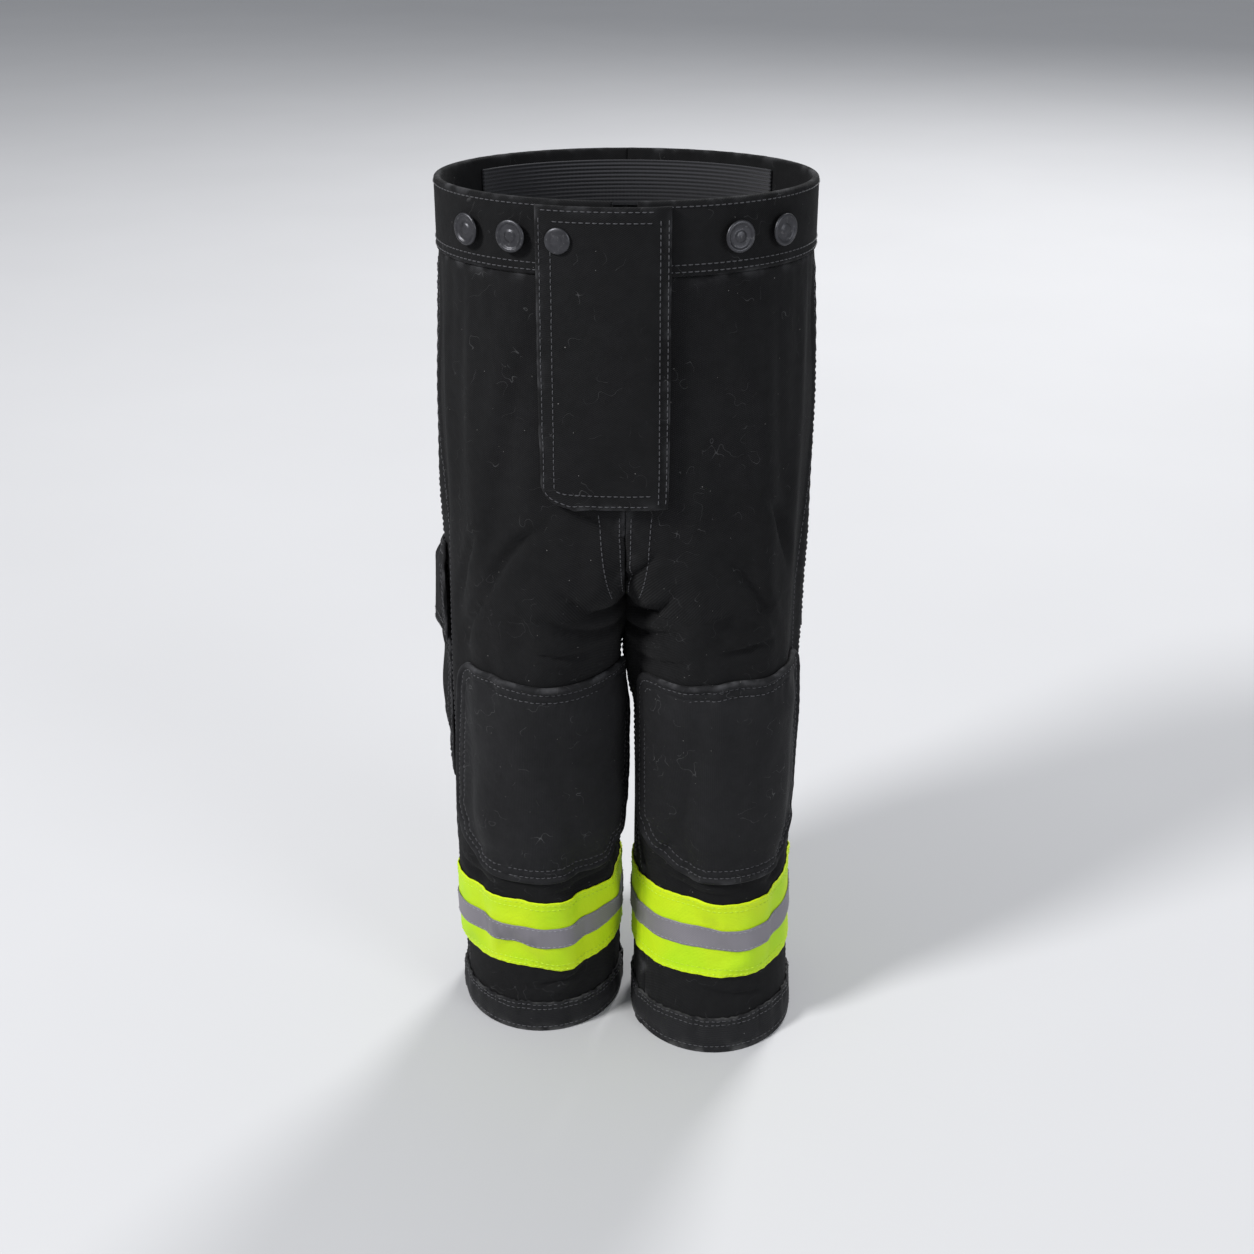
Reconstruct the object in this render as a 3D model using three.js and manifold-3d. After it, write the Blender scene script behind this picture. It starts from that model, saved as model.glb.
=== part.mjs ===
// Child's bunker pants: shell, quilted liner, fly, waistband, cargo pockets, knee patches, trim and cuffs.
// Millimetres, +Z up, the wearer faces -Y, so the wearer's left is +X. The hems stand on z = 0, and the
// origin is under the middle of the garment. Every cloth piece is a grid on one smooth body surface, made
// solid between two offsets from that surface.
import * as THREE from "three";
import Module from "manifold-3d";
import { mergeVertices } from "three/addons/utils/BufferGeometryUtils.js";

const wasm = await Module();
wasm.setup();

// ---- Driving dimensions ----

// Overall
const height = 505; // hem to the waistband's top edge
const inseam = 285; // hem to crotch
const hipBlend = 100; // height over which the two legs become one hip

// Half widths across the whole garment, and how far the front and back stand from the origin
const hemHalfWidth = 100;
const calfHalfWidth = 98;
const thighHalfWidth = 98;
const hipHalfWidth = 104;
const waistHalfWidth = 98;
const hemFront = -53;
const kneeFront = -57;
const hipFront = -76;
const hemBack = 53;
const thighBack = 60;
const hipBack = 88;
const waistBack = 74;
const kneeRise = 68; // from the patch's lower edge to the knee
const frontStraightRise = 55; // this far above the crotch, the front becomes one upright line

// Between the legs
const hemLegGap = 9;
const crotchLegGap = 0.8;
const gapFade = 45;

// How the wearer's left leg stands: its hem is forward and its seams are turned outwards
const leftHemForward = 20;
const forwardFade = 135;
const leftSeamTurn = THREE.MathUtils.degToRad(30);
const seamTurnFade = 0.62; // share of the inseam over which the seams turn
const patchTurn = { left: THREE.MathUtils.degToRad(17), right: THREE.MathUtils.degToRad(-7) };

// Cloth
const shellThickness = 2.2;
const panelColumns = 10; // facets round each panel
const seamGap = 0.4; // between two panels that are sewn edge to edge
const clearance = 0.3; // between pieces that lie on each other
const curvedClearance = 0.6; // under pieces with wide facets on the round of a leg
const padFoot = 1.4; // the pad's underside above the shell
const linerDepth = 5; // shell face to liner face
const linerThickness = 1.8;
const linerHemRise = 14;

// Cuff binding
const cuffHeight = 22;
const cuffInsideHeight = 10;
const cuffThickness = 1.2;

// Trim: a lime band with a silver stripe sewn along its middle
const trimHeight = 50;
const trimBottom = 48;
const trimThickness = 1;
const stripeHeight = 14;
const stripeThickness = 0.6;

// Knee patch and the foam pad under it
const patchWidth = 128;
const patchAboveTrim = 14;
const patchBelowCrotch = 40;
const patchTopRadius = 14;
const patchBottomRadius = 40;
const patchThickness = 1.8;
const patchFacet = 14; // widest facet on the patch
const facetAllowance = 1.25; // over the depth of a flat facet on the round leg
const patchDome = 3.2;
const patchEdgeShare = 0.14; // share of the patch's radius that is flat border
const domeRampShare = 0.24;
const padShare = 0.7; // pad outline over patch outline
const padDrop = 0.6; // pad top under the patch

// Cargo pocket and flap
const pocketWidth = 90;
const pocketHeight = 122;
const pocketBelowCrotch = 3;
const pocketToPatch = { left: 3.8, right: 4.8 }; // round the leg, from the patch's edge to the pocket
const pocketFullness = 8.5; // how far the middle of the pocket stands off the thigh
const pocketEdgeFade = 35;
const pocketBottomFade = 30;
const pocketWall = 1.4;
const flapHeight = 56;
const flapAbovePocket = 22;
const flapOverhang = 4;
const flapThickness = 1.8;
const flapRampDrop = 18;
const tapeLiftReach = 12; // the flap makes room for the tapes this far beyond their ends
const tapeLiftFade = 9;
const tapeAboveFlapEdge = 5;
const pocketTapeHeight = 18;
const pocketTapeThickness = 0.6;

// Waistband
const waistbandHeight = 37;
const waistbandOutside = 1.2;
const waistbandInside = 2.6;
const elasticHeight = 25;
const elasticThickness = 1.4;
const elasticHalfAngle = THREE.MathUtils.degToRad(55);

// Fly
const flyAboveCrotch = 69;
const flyNotch = 4; // height over which the panels part below the fly
const flyHalfGap = 6;
const flyFlapSewn = 22; // the storm flap is sewn on the wearer's left
const flyFlapFree = -42;
const flyFlapThickness = 2.6;
const flyFlapStandOff = 3.2;
const flyFlapSewnStandOff = 1.7;
const flyFlapRamp = 10;
const flyFlapCornerRadius = 14;
const flyFlapTopMargin = 2;
const flyFlapBelow = 4; // how far the storm flap covers the shell below the zip
const flyTapeWidth = 16;
const flyTapeMiddle = -28;
const flyTapeHeight = 92;
const flyTapeRise = 8;
const flyTapeThickness = 1;
const shieldHalfWidth = 17;
const shieldThickness = 1;
const shieldRise = 2;
const shieldToLiner = 2;

// Zip
const zipTapeWidth = 14;
const zipTapeThickness = 0.8;
const zipTapeDepth = 3.3;
const zipTopMargin = 6;
const toothPitch = 5;
const toothHeight = 2.6;
const toothLength = 2.8;
const toothThickness = 2.4;
const toothSpine = 0.9; // the strip the teeth grow from
const toothMiddleGap = 0.6;
const toothRootOverlap = 0.1; // how far the tape reaches into the teeth
const stopHalfWidth = 3;
const stopHeight = 4;
const sliderHalfWidth = 4.6;
const sliderLength = 10;
const sliderPlate = 1;
const sliderPost = 0.3;
const sliderPlay = 0.4;
const sliderBelowTop = 2;
const postHalfLength = 2;
const pullWidth = 5;
const pullLength = 26;
const pullThickness = 0.9;
const pullBar = 2.4; // the pull's upper bar, inside the bridge
const bridgeWidth = 2.4;
const bridgeThickness = 0.8;
const bridgeLegLength = 1;

// Buttons and snap
const buttonRadius = 8;
const buttonThickness = 1.8;
const buttonNeckRadius = 2.5;
const buttonStandOff = 2;
const frontButtonX = [54, 76];
const backButtonX = [18, 44];
const buttonEdge = 0.8;
const snapX = -31;
const snapCapRadius = 6.5;
const snapCapThickness = 1.5;
const snapStudRadius = 4;
const snapEdge = 0.6;

// ---- Heights worked out from the sizes above ----

const bandBottom = height - waistbandHeight;
const hipHeight = inseam + hipBlend;
const frontStraightFrom = inseam + frontStraightRise;
const flyBottom = inseam + flyAboveCrotch;
const trimTop = trimBottom + trimHeight;
const trimMiddle = trimBottom + trimHeight / 2;
const patchBottom = trimTop + patchAboveTrim;
const patchHeight = inseam - patchBelowCrotch - patchBottom;
const kneeHeight = patchBottom + kneeRise;
const pocketTop = inseam - pocketBelowCrotch;
const pocketBottom = pocketTop - pocketHeight;
const flapSewnAt = pocketTop + flapAbovePocket;
const flapBottom = flapSewnAt - flapHeight;
const pocketTapeBottom = flapBottom + tapeAboveFlapEdge;

// ---- Small maths ----

const legRadius = thighHalfWidth / 2;
const HALF_TURN = Math.PI;
const QUARTER_TURN = Math.PI / 2;
const clamp01 = (x) => Math.min(1, Math.max(0, x));
const smooth = (x) => clamp01(x) ** 2 * (3 - 2 * clamp01(x));
const mix = (a, b, t) => a + (b - a) * t;

// A smooth curve through [z, value] pairs, level at both ends.
function profile(points) {
  const slope = points.map((_, i) => {
    const before = points[Math.max(i - 1, 0)];
    const after = points[Math.min(i + 1, points.length - 1)];
    const atEnd = i === 0 || i === points.length - 1;
    return atEnd ? 0 : (after[1] - before[1]) / (after[0] - before[0]);
  });
  return (z) => {
    if (z <= points[0][0]) return points[0][1];
    const i = points.findIndex((p) => p[0] >= z) - 1;
    if (i < 0) return points[points.length - 1][1];
    const [z0, a] = points[i];
    const [z1, b] = points[i + 1];
    const h = z1 - z0;
    const t = (z - z0) / h;
    const rise = a * (2 * t ** 3 - 3 * t ** 2 + 1) + b * (3 * t ** 2 - 2 * t ** 3);
    return rise + slope[i] * h * (t ** 3 - 2 * t ** 2 + t) + slope[i + 1] * h * (t ** 3 - t ** 2);
  };
}

// ---- The body surface ----

const halfWidthAt = profile([
  [0, hemHalfWidth],
  [patchBottom, calfHalfWidth],
  [inseam, thighHalfWidth],
  [hipHeight, hipHalfWidth],
  [bandBottom, waistHalfWidth],
]);
const frontAt = profile([
  [0, hemFront],
  [kneeHeight, kneeFront],
  [frontStraightFrom, hipFront],
]);
const backAt = profile([
  [0, hemBack],
  [kneeHeight, mix(hemBack, thighBack, 0.5)],
  [inseam, mix(thighBack, hipBack, 0.5)],
  [hipHeight, hipBack],
  [bandBottom, waistBack],
]);
const legGapAt = (z) => mix(crotchLegGap, hemLegGap, 1 - Math.exp(-(inseam - z) / gapFade));
const leftForwardAt = (z) => leftHemForward * clamp01(1 - z / forwardFade) ** 2;

// The ellipse of one leg at height z. Above the crotch it widens until both sides share one hip ellipse.
function section(side, z) {
  const whole = halfWidthAt(z);
  const merge = z <= inseam ? 0 : Math.sin(QUARTER_TURN * clamp01((z - inseam) / hipBlend));
  const innerGap = z <= inseam ? legGapAt(z) / 2 : (crotchLegGap / 2) * (1 - merge);
  const rx = mix((whole - innerGap) / 2, whole, merge);
  const forward = side > 0 ? leftForwardAt(z) : 0;
  const front = frontAt(z) - forward;
  const back = backAt(z) - forward;
  return { cx: whole - rx, cy: (front + back) / 2, rx, ry: (back - front) / 2 };
}

// Angle t runs from 0 at the outside of the leg to -90 degrees at the front and 180 degrees at the inside.
function surfacePoint(side, t, z) {
  const s = section(side, z);
  return new THREE.Vector3(side * (s.cx + s.rx * Math.cos(t)), s.cy + s.ry * Math.sin(t), z);
}

function surface(side, t, z) {
  const step = 0.01;
  const along = surfacePoint(side, t + step, z).sub(surfacePoint(side, t - step, z));
  const up = surfacePoint(side, t, z + step).sub(surfacePoint(side, t, z - step));
  const normal = along.cross(up).multiplyScalar(side).normalize();
  return { point: surfacePoint(side, t, z), normal };
}

// The front surface at a signed distance x from the middle.
function frontSurface(x, z) {
  const side = x < 0 ? -1 : 1;
  const s = section(side, z);
  return surface(side, -Math.acos((Math.abs(x) - s.cx) / s.rx), z);
}

// The back surface at a signed distance x from the middle.
function backSurface(x, z) {
  const side = x < 0 ? -1 : 1;
  const s = section(side, z);
  return surface(side, Math.acos((Math.abs(x) - s.cx) / s.rx), z);
}

// The angle at a distance round the leg from the angle called middle.
function angleAlong(side, middle, distance, z) {
  const { rx, ry } = section(side, z);
  const parts = 8;
  let t = middle;
  for (let i = 0; i < parts; i++) t += distance / parts / Math.hypot(rx * Math.sin(t), ry * Math.cos(t));
  return t;
}

const alongLeg = (side, middle, distance, z) => surface(side, angleAlong(side, middle, distance, z), z);

// Where a half of the garment ends: the inside of the leg, or halfGap from the middle above the crotch.
function innerAngle(side, z, halfGap) {
  const s = section(side, z);
  const edge = seamGap / 2 / s.rx;
  if (s.cx - s.rx >= halfGap) return HALF_TURN - edge;
  return Math.min(HALF_TURN - edge, Math.acos((halfGap - s.cx) / s.rx));
}

// ---- Making solids ----

function solidGeometry(positions, indices) {
  const a = new THREE.Vector3();
  const b = new THREE.Vector3();
  const c = new THREE.Vector3();
  let volume = 0;
  for (let i = 0; i < indices.length; i += 3) {
    a.fromArray(positions, 3 * indices[i]);
    b.fromArray(positions, 3 * indices[i + 1]);
    c.fromArray(positions, 3 * indices[i + 2]);
    volume += a.dot(b.cross(c));
  }
  if (volume < 0) indices.reverse();
  const geometry = new THREE.BufferGeometry();
  geometry.setAttribute("position", new THREE.Float32BufferAttribute(positions, 3));
  geometry.setIndex(indices);
  return geometry;
}

const valueAt = (offset, u, v) => (typeof offset === "function" ? offset(u, v) : offset);

// A sheet of cloth: at(u, v) gives the surface for u and v from 0 to 1, and the sheet fills inner to outer.
// us and vs are the grid's values along each way.
function sheet(at, us, vs, inner, outer) {
  const positions = [];
  for (const offset of [inner, outer]) {
    for (const v of vs) {
      for (const u of us) {
        const { point, normal } = at(u, v);
        positions.push(...point.addScaledVector(normal, valueAt(offset, u, v)).toArray());
      }
    }
  }
  const nu = us.length;
  const nv = vs.length;
  const layer = nu * nv;
  const indices = [];
  const quad = (a, b, c, d) => indices.push(a, b, c, a, c, d);
  for (let j = 0; j + 1 < nv; j++) {
    for (let i = 0; i + 1 < nu; i++) {
      const k = j * nu + i;
      quad(k, k + nu, k + nu + 1, k + 1);
      quad(layer + k, layer + k + 1, layer + k + nu + 1, layer + k + nu);
    }
  }
  const rim = [];
  for (let i = 0; i < nu; i++) rim.push(i);
  for (let j = 1; j < nv; j++) rim.push(j * nu + nu - 1);
  for (let i = nu - 2; i >= 0; i--) rim.push((nv - 1) * nu + i);
  for (let j = nv - 2; j > 0; j--) rim.push(j * nu);
  rim.forEach((a, i) => {
    const b = rim[(i + 1) % rim.length];
    quad(a, b, layer + b, layer + a);
  });
  return solidGeometry(positions, indices);
}

// A round-cornered piece: rings of points from a middle out to an outline, made solid between two offsets.
function outlinedPiece(at, outline, rings, inner, outer) {
  const positions = [];
  const count = outline.length;
  const middle = outline.reduce((sum, p) => sum.add(p), new THREE.Vector2()).divideScalar(count);
  for (const offset of [inner, outer]) {
    for (const r of [0, ...rings]) {
      for (const p of r === 0 ? [middle] : outline) {
        const { point, normal } = at(mix(middle.x, p.x, r), mix(middle.y, p.y, r));
        positions.push(...point.addScaledVector(normal, valueAt(offset, r)).toArray());
      }
    }
  }
  const layer = 1 + rings.length * count;
  const indices = [];
  const tri = (a, b, c) => indices.push(a, b, c, layer + a, layer + c, layer + b);
  for (let i = 0; i < count; i++) {
    const next = (i + 1) % count;
    tri(0, 1 + next, 1 + i);
    for (let k = 0; k + 1 < rings.length; k++) {
      const a = 1 + k * count;
      tri(a + i, a + next, a + count + next);
      tri(a + i, a + count + next, a + count + i);
    }
    const edge = 1 + (rings.length - 1) * count;
    indices.push(edge + i, edge + next, layer + edge + next);
    indices.push(edge + i, layer + edge + next, layer + edge + i);
  }
  return solidGeometry(positions, indices);
}

// A ring round a leg with a closed cross-section, given as [offset, z] pairs.
function ringPiece(side, crossSection, angles) {
  const positions = [];
  for (const t of angles) {
    for (const [offset, z] of crossSection) {
      const { point, normal } = surface(side, t, z);
      normal.setZ(0).normalize();
      positions.push(...point.addScaledVector(normal, offset).toArray());
    }
  }
  const steps = angles.length;
  const n = crossSection.length;
  const indices = [];
  for (let i = 0; i < steps; i++) {
    for (let k = 0; k < n; k++) {
      const a = i * n + k;
      const b = i * n + ((k + 1) % n);
      const c = ((i + 1) % steps) * n + ((k + 1) % n);
      const d = ((i + 1) % steps) * n + k;
      indices.push(a, b, c, a, c, d);
    }
  }
  return solidGeometry(positions, indices);
}

function toManifold(geometry) {
  const bare = geometry.clone();
  bare.deleteAttribute("normal");
  bare.deleteAttribute("uv");
  const merged = mergeVertices(bare, 1e-4);
  return new wasm.Manifold(
    new wasm.Mesh({
      numProp: 3,
      vertProperties: new Float32Array(merged.attributes.position.array),
      triVerts: new Uint32Array(merged.index.array),
    }),
  );
}

function fromManifold(solid) {
  const mesh = solid.getMesh();
  const geometry = new THREE.BufferGeometry();
  geometry.setAttribute("position", new THREE.BufferAttribute(mesh.vertProperties, 3));
  geometry.setIndex(new THREE.BufferAttribute(mesh.triVerts, 1));
  return geometry;
}

function box(x0, x1, y0, y1, z0, z1) {
  const made = new THREE.BoxGeometry(x1 - x0, y1 - y0, z1 - z0);
  return made.translate((x0 + x1) / 2, (y0 + y1) / 2, (z0 + z1) / 2);
}

const steps = (n) => Array.from({ length: n + 1 }, (_, i) => i / n);

// ---- Materials and nodes ----

const material = (color, roughness, metalness = 0) =>
  new THREE.MeshStandardMaterial({ color, roughness, metalness });
const shellCloth = material(0x17171a, 0.9);
const patchCloth = material(0x1b1b1f, 0.85);
const linerCloth = material(0x6f7276, 0.95);
const limeTape = material(0xc3e600, 0.6);
const silverTape = material(0x8f8c92, 0.35, 0.3);
const cuffCloth = material(0x141416, 0.8);
const foam = material(0x3c3c40, 1);
const hookAndLoop = material(0x0e0e10, 1);
const elasticWeb = material(0x202024, 0.9);
const zipTape = material(0x101012, 0.9);
const darkMetal = material(0x3a3a3e, 0.4, 0.8);

const pants = new THREE.Group();

function add(name, geometry, finish) {
  const mesh = new THREE.Mesh(geometry, finish);
  mesh.name = name;
  pants.add(mesh);
  return mesh;
}

const sides = [
  { name: "left", side: 1 },
  { name: "right", side: -1 },
];

// ---- Outer shell and liner panels ----

// Heights of the grid rows: close together just above the crotch, where the inner edge sweeps round.
function panelRows(legRows, sweep, above) {
  const rows = [...legRows, inseam];
  const sweepTop = inseam + hipBlend / 2;
  steps(sweep)
    .slice(1)
    .forEach((v) => rows.push(mix(inseam, sweepTop, v * v)));
  rows.push(mix(sweepTop, flyBottom, 0.5), flyBottom, hipHeight);
  steps(above)
    .slice(1)
    .forEach((v) => rows.push(mix(hipHeight, bandBottom - clearance, v)));
  return rows;
}

// The angle a share u of the way from the side seam (0) to the inside edge (1) of a front or back panel.
function panelAngle(side, isFront, u, z, edge) {
  const seamHalf = seamGap / 2 / legRadius;
  const turn = side > 0 ? leftSeamTurn * smooth((inseam - z) / (inseam * seamTurnFade)) : 0;
  const start = turn / 2 + (isFront ? -seamHalf : seamHalf);
  return mix(start, isFront ? turn - edge : turn + edge, u);
}

// halfGap is how far from the middle the panel stops beside the fly.
function panel(side, isFront, rows, columns, halfGap, inner, outer) {
  const at = (u, z) => {
    const beside = isFront ? halfGap * smooth((z - flyBottom + flyNotch) / flyNotch) : 0;
    const edge = innerAngle(side, z, Math.max(seamGap / 2, beside));
    return surface(side, panelAngle(side, isFront, u, z, edge), z);
  };
  return sheet(at, steps(columns), rows, inner, outer);
}

// Angles all round a leg below the knee, at the same places as the panels' columns, from inseam to inseam.
function legAngles(side) {
  const edge = HALF_TURN - seamGap / 2 / legRadius;
  const front = steps(panelColumns).map((u) => panelAngle(side, true, 1 - u, 0, edge));
  const back = steps(panelColumns).map((u) => panelAngle(side, false, u, 0, edge));
  return [...front.slice(0, -1), ...back];
}

const shellFoot = 2 * cuffThickness;
const calfRow = mix(trimTop, forwardFade, 0.5);
const kneeRows = [forwardFade, kneeHeight, mix(kneeHeight, inseam, 0.5)];
const trimRows = [trimBottom, trimMiddle, trimTop];
const shellRows = panelRows([shellFoot, cuffHeight, ...trimRows, calfRow, ...kneeRows], 4, 3);
const linerRows = panelRows([linerHemRise, trimMiddle, ...kneeRows], 3, 2);

for (const { name, side } of sides) {
  for (const [part, isFront] of [
    ["front", true],
    ["back", false],
  ]) {
    const shell = panel(side, isFront, shellRows, panelColumns, flyHalfGap, -shellThickness, 0);
    add(`${name}_${part}_shell`, shell, shellCloth);
    const linerGap = shieldHalfWidth + shieldToLiner;
    const liner = panel(side, isFront, linerRows, 6, linerGap, -linerDepth - linerThickness, -linerDepth);
    add(`${name}_${part}_liner`, liner, linerCloth);
  }
}

// ---- Cuffs and trim ----

const cuffOuter = clearance + cuffThickness;
const cuffInner = -shellThickness - clearance - cuffThickness;
const cuffSection = [
  [cuffOuter, 0],
  [cuffOuter, cuffHeight],
  [clearance, cuffHeight],
  [clearance, cuffThickness],
  [cuffInner + cuffThickness, cuffThickness],
  [cuffInner + cuffThickness, cuffInsideHeight],
  [cuffInner, cuffInsideHeight],
  [cuffInner, 0],
];

// A strip all round one leg, whose ends meet at the inseam.
function legStrip(side, bottom, top, inner, thickness) {
  const at = (angle, z) => surface(side, angle, z);
  const rows = [bottom, (bottom + top) / 2, top];
  return sheet(at, legAngles(side), rows, inner, inner + thickness);
}

const stripeBottom = trimBottom + (trimHeight - stripeHeight) / 2;
for (const { name, side } of sides) {
  const cuff = ringPiece(side, cuffSection, legAngles(side).slice(0, -1));
  add(`${name}_cuff_binding`, cuff, cuffCloth);
  const band = legStrip(side, trimBottom, trimBottom + trimHeight, clearance, trimThickness);
  add(`${name}_trim_band`, band, limeTape);
  const onBand = 2 * clearance + trimThickness;
  const stripe = legStrip(side, stripeBottom, stripeBottom + stripeHeight, onBand, stripeThickness);
  add(`${name}_trim_stripe`, stripe, silverTape);
}

// ---- Knee patches and pads ----

// The patch's outline round its own middle: x is round the leg, y is up.
function patchOutline(points) {
  const w = patchWidth / 2;
  const h = patchHeight / 2;
  const shape = new THREE.Shape();
  shape.moveTo(0, -h);
  shape.lineTo(w - patchBottomRadius, -h);
  shape.absarc(w - patchBottomRadius, patchBottomRadius - h, patchBottomRadius, -QUARTER_TURN, 0);
  shape.lineTo(w, h - patchTopRadius);
  shape.absarc(w - patchTopRadius, h - patchTopRadius, patchTopRadius, 0, QUARTER_TURN);
  shape.lineTo(patchTopRadius - w, h);
  shape.absarc(patchTopRadius - w, h - patchTopRadius, patchTopRadius, QUARTER_TURN, HALF_TURN);
  shape.lineTo(-w, patchBottomRadius - h);
  shape.absarc(patchBottomRadius - w, patchBottomRadius - h, patchBottomRadius, HALF_TURN, 3 * QUARTER_TURN);
  shape.closePath();
  return shape.getSpacedPoints(points).slice(0, points);
}

const domeAt = (r) => patchDome * smooth((1 - patchEdgeShare - r) / domeRampShare);
const patchClearance = clearance + (facetAllowance * patchFacet ** 2) / (8 * legRadius);
const patchInside = 1 - patchEdgeShare;
const patchRingCount = Math.ceil((patchInside * patchWidth) / 2 / patchFacet);
const patchRings = [...steps(patchRingCount).slice(1).map((v) => v * patchInside), 1];
const patchPoints = 4 * Math.ceil((patchWidth + patchHeight) / 2 / patchFacet + 1);
const padRings = [...patchRings.filter((r) => r < padShare).map((r) => r / padShare), 1];

for (const { name, side } of sides) {
  const middle = -QUARTER_TURN + patchTurn[name];
  const at = (x, y) => alongLeg(side, middle, x, patchBottom + patchHeight / 2 + y);
  const outline = patchOutline(patchPoints);
  const under = (r) => patchClearance + domeAt(r);
  const over = (r) => under(r) + patchThickness;
  add(`${name}_knee_patch`, outlinedPiece(at, outline, patchRings, under, over), patchCloth);
  const padOutline = outline.map((p) => p.clone().multiplyScalar(padShare));
  const padTop = (r) => mix(patchClearance + domeAt(r * padShare) - padDrop, padFoot + padDrop, r ** 4);
  add(`${name}_knee_pad`, outlinedPiece(at, padOutline, padRings, padFoot, padTop), foam);
}

// ---- Cargo pockets ----

// Columns are distances round the leg from the pocket's middle, shared by the pocket, flap and tapes.
const pocketColumns = steps(10).map((u) => (u - 0.5) * pocketWidth);
const tapeColumns = pocketColumns.slice(3, -3);
const atPocketEdge = (d) => Math.abs(d) >= pocketWidth / 2;
const flapColumns = pocketColumns.map((d) => (atPocketEdge(d) ? d + Math.sign(d) * flapOverhang : d));
const tapeRows = [pocketTapeBottom, pocketTapeBottom + pocketTapeHeight];
const mouthRows = [flapBottom, ...tapeRows]; // the pocket and its flap bend at the same heights
const pocketFadeTop = pocketBottom + pocketBottomFade;
const pocketFadeRows = steps(4).map((v) => mix(pocketBottom, pocketFadeTop, v));
const pocketRows = [...pocketFadeRows, mix(pocketFadeTop, flapBottom, 0.5), ...mouthRows, pocketTop];
const flapRampFoot = flapSewnAt - flapRampDrop;
const flapRampRows = steps(4).map((v) => mix(flapRampFoot, flapSewnAt, v));
const flapRows = [...mouthRows, pocketTop, ...flapRampRows];

const bulgeAt = (d) => pocketFullness * smooth((pocketWidth / 2 - Math.abs(d)) / pocketEdgeFade);
const pocketUnder = (d, z) => curvedClearance + bulgeAt(d) * smooth((z - pocketBottom) / pocketBottomFade);
const pocketOver = (d, z) => pocketUnder(d, z) + pocketWall;
const loopUnder = (d, z) => pocketOver(d, z) + clearance;
const hookUnder = (d, z) => loopUnder(d, z) + pocketTapeThickness + clearance;

// The flap is sewn flat on the thigh, slopes out over the pocket's mouth, and has room under it for tapes.
const tapeEdge = tapeColumns[tapeColumns.length - 1];
const tapeStack = 2 * pocketTapeThickness + 2 * clearance;
const tapeLift = (d) => tapeStack * smooth((tapeEdge + tapeLiftReach - Math.abs(d)) / tapeLiftFade);
const flapLift = (d) => pocketWall + clearance + bulgeAt(d) + tapeLift(d);
const flapUnder = (d, z) => curvedClearance + flapLift(d) * smooth((flapSewnAt - z) / flapRampDrop);
const flapOver = (d, z) => flapUnder(d, z) + flapThickness;

for (const { name, side } of sides) {
  const fromPatch = patchWidth / 2 + pocketToPatch[name] + pocketWidth / 2;
  const pocketMiddle = angleAlong(side, -QUARTER_TURN + patchTurn[name], fromPatch, pocketBottom);
  const at = (d, z) => alongLeg(side, pocketMiddle, d, z);
  add(`${name}_cargo_pocket`, sheet(at, pocketColumns, pocketRows, pocketUnder, pocketOver), shellCloth);
  add(`${name}_pocket_flap`, sheet(at, flapColumns, flapRows, flapUnder, flapOver), shellCloth);
  const loopOver = (d, z) => loopUnder(d, z) + pocketTapeThickness;
  add(`${name}_pocket_loop_tape`, sheet(at, tapeColumns, tapeRows, loopUnder, loopOver), hookAndLoop);
  const hookOver = (d, z) => hookUnder(d, z) + pocketTapeThickness;
  add(`${name}_flap_hook_tape`, sheet(at, tapeColumns, tapeRows, hookUnder, hookOver), hookAndLoop);
}

// ---- Waistband and elastic ----

for (const { name, side } of sides) {
  const at = (u, z) => {
    const front = -innerAngle(side, z, flyHalfGap);
    const back = innerAngle(side, z, seamGap / 2);
    return surface(side, mix(front, back, u), z);
  };
  const rows = [bandBottom, height];
  const band = sheet(at, steps(22), rows, -waistbandInside, waistbandOutside);
  add(`${name}_waistband`, band, shellCloth);
}

const bandMiddle = height - waistbandHeight / 2;
const elasticAt = (u, v) => {
  const t = QUARTER_TURN + mix(-elasticHalfAngle, elasticHalfAngle, u);
  return surface(1, t, bandMiddle + mix(-elasticHeight, elasticHeight, v) / 2);
};
const elasticOuter = -waistbandInside - clearance;
const elastic = sheet(elasticAt, steps(14), [0, 1], elasticOuter - elasticThickness, elasticOuter);
add("back_elastic", elastic, elasticWeb);

// ---- Zip ----

const frontLine = hipFront; // the fly lies on this upright plane
const zipTop = height - zipTopMargin;
const towardsBody = (depth) => frontLine + depth;
const toothFront = zipTapeDepth + zipTapeThickness / 2 - toothThickness / 2;
const toothBack = toothFront + toothThickness;

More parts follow.
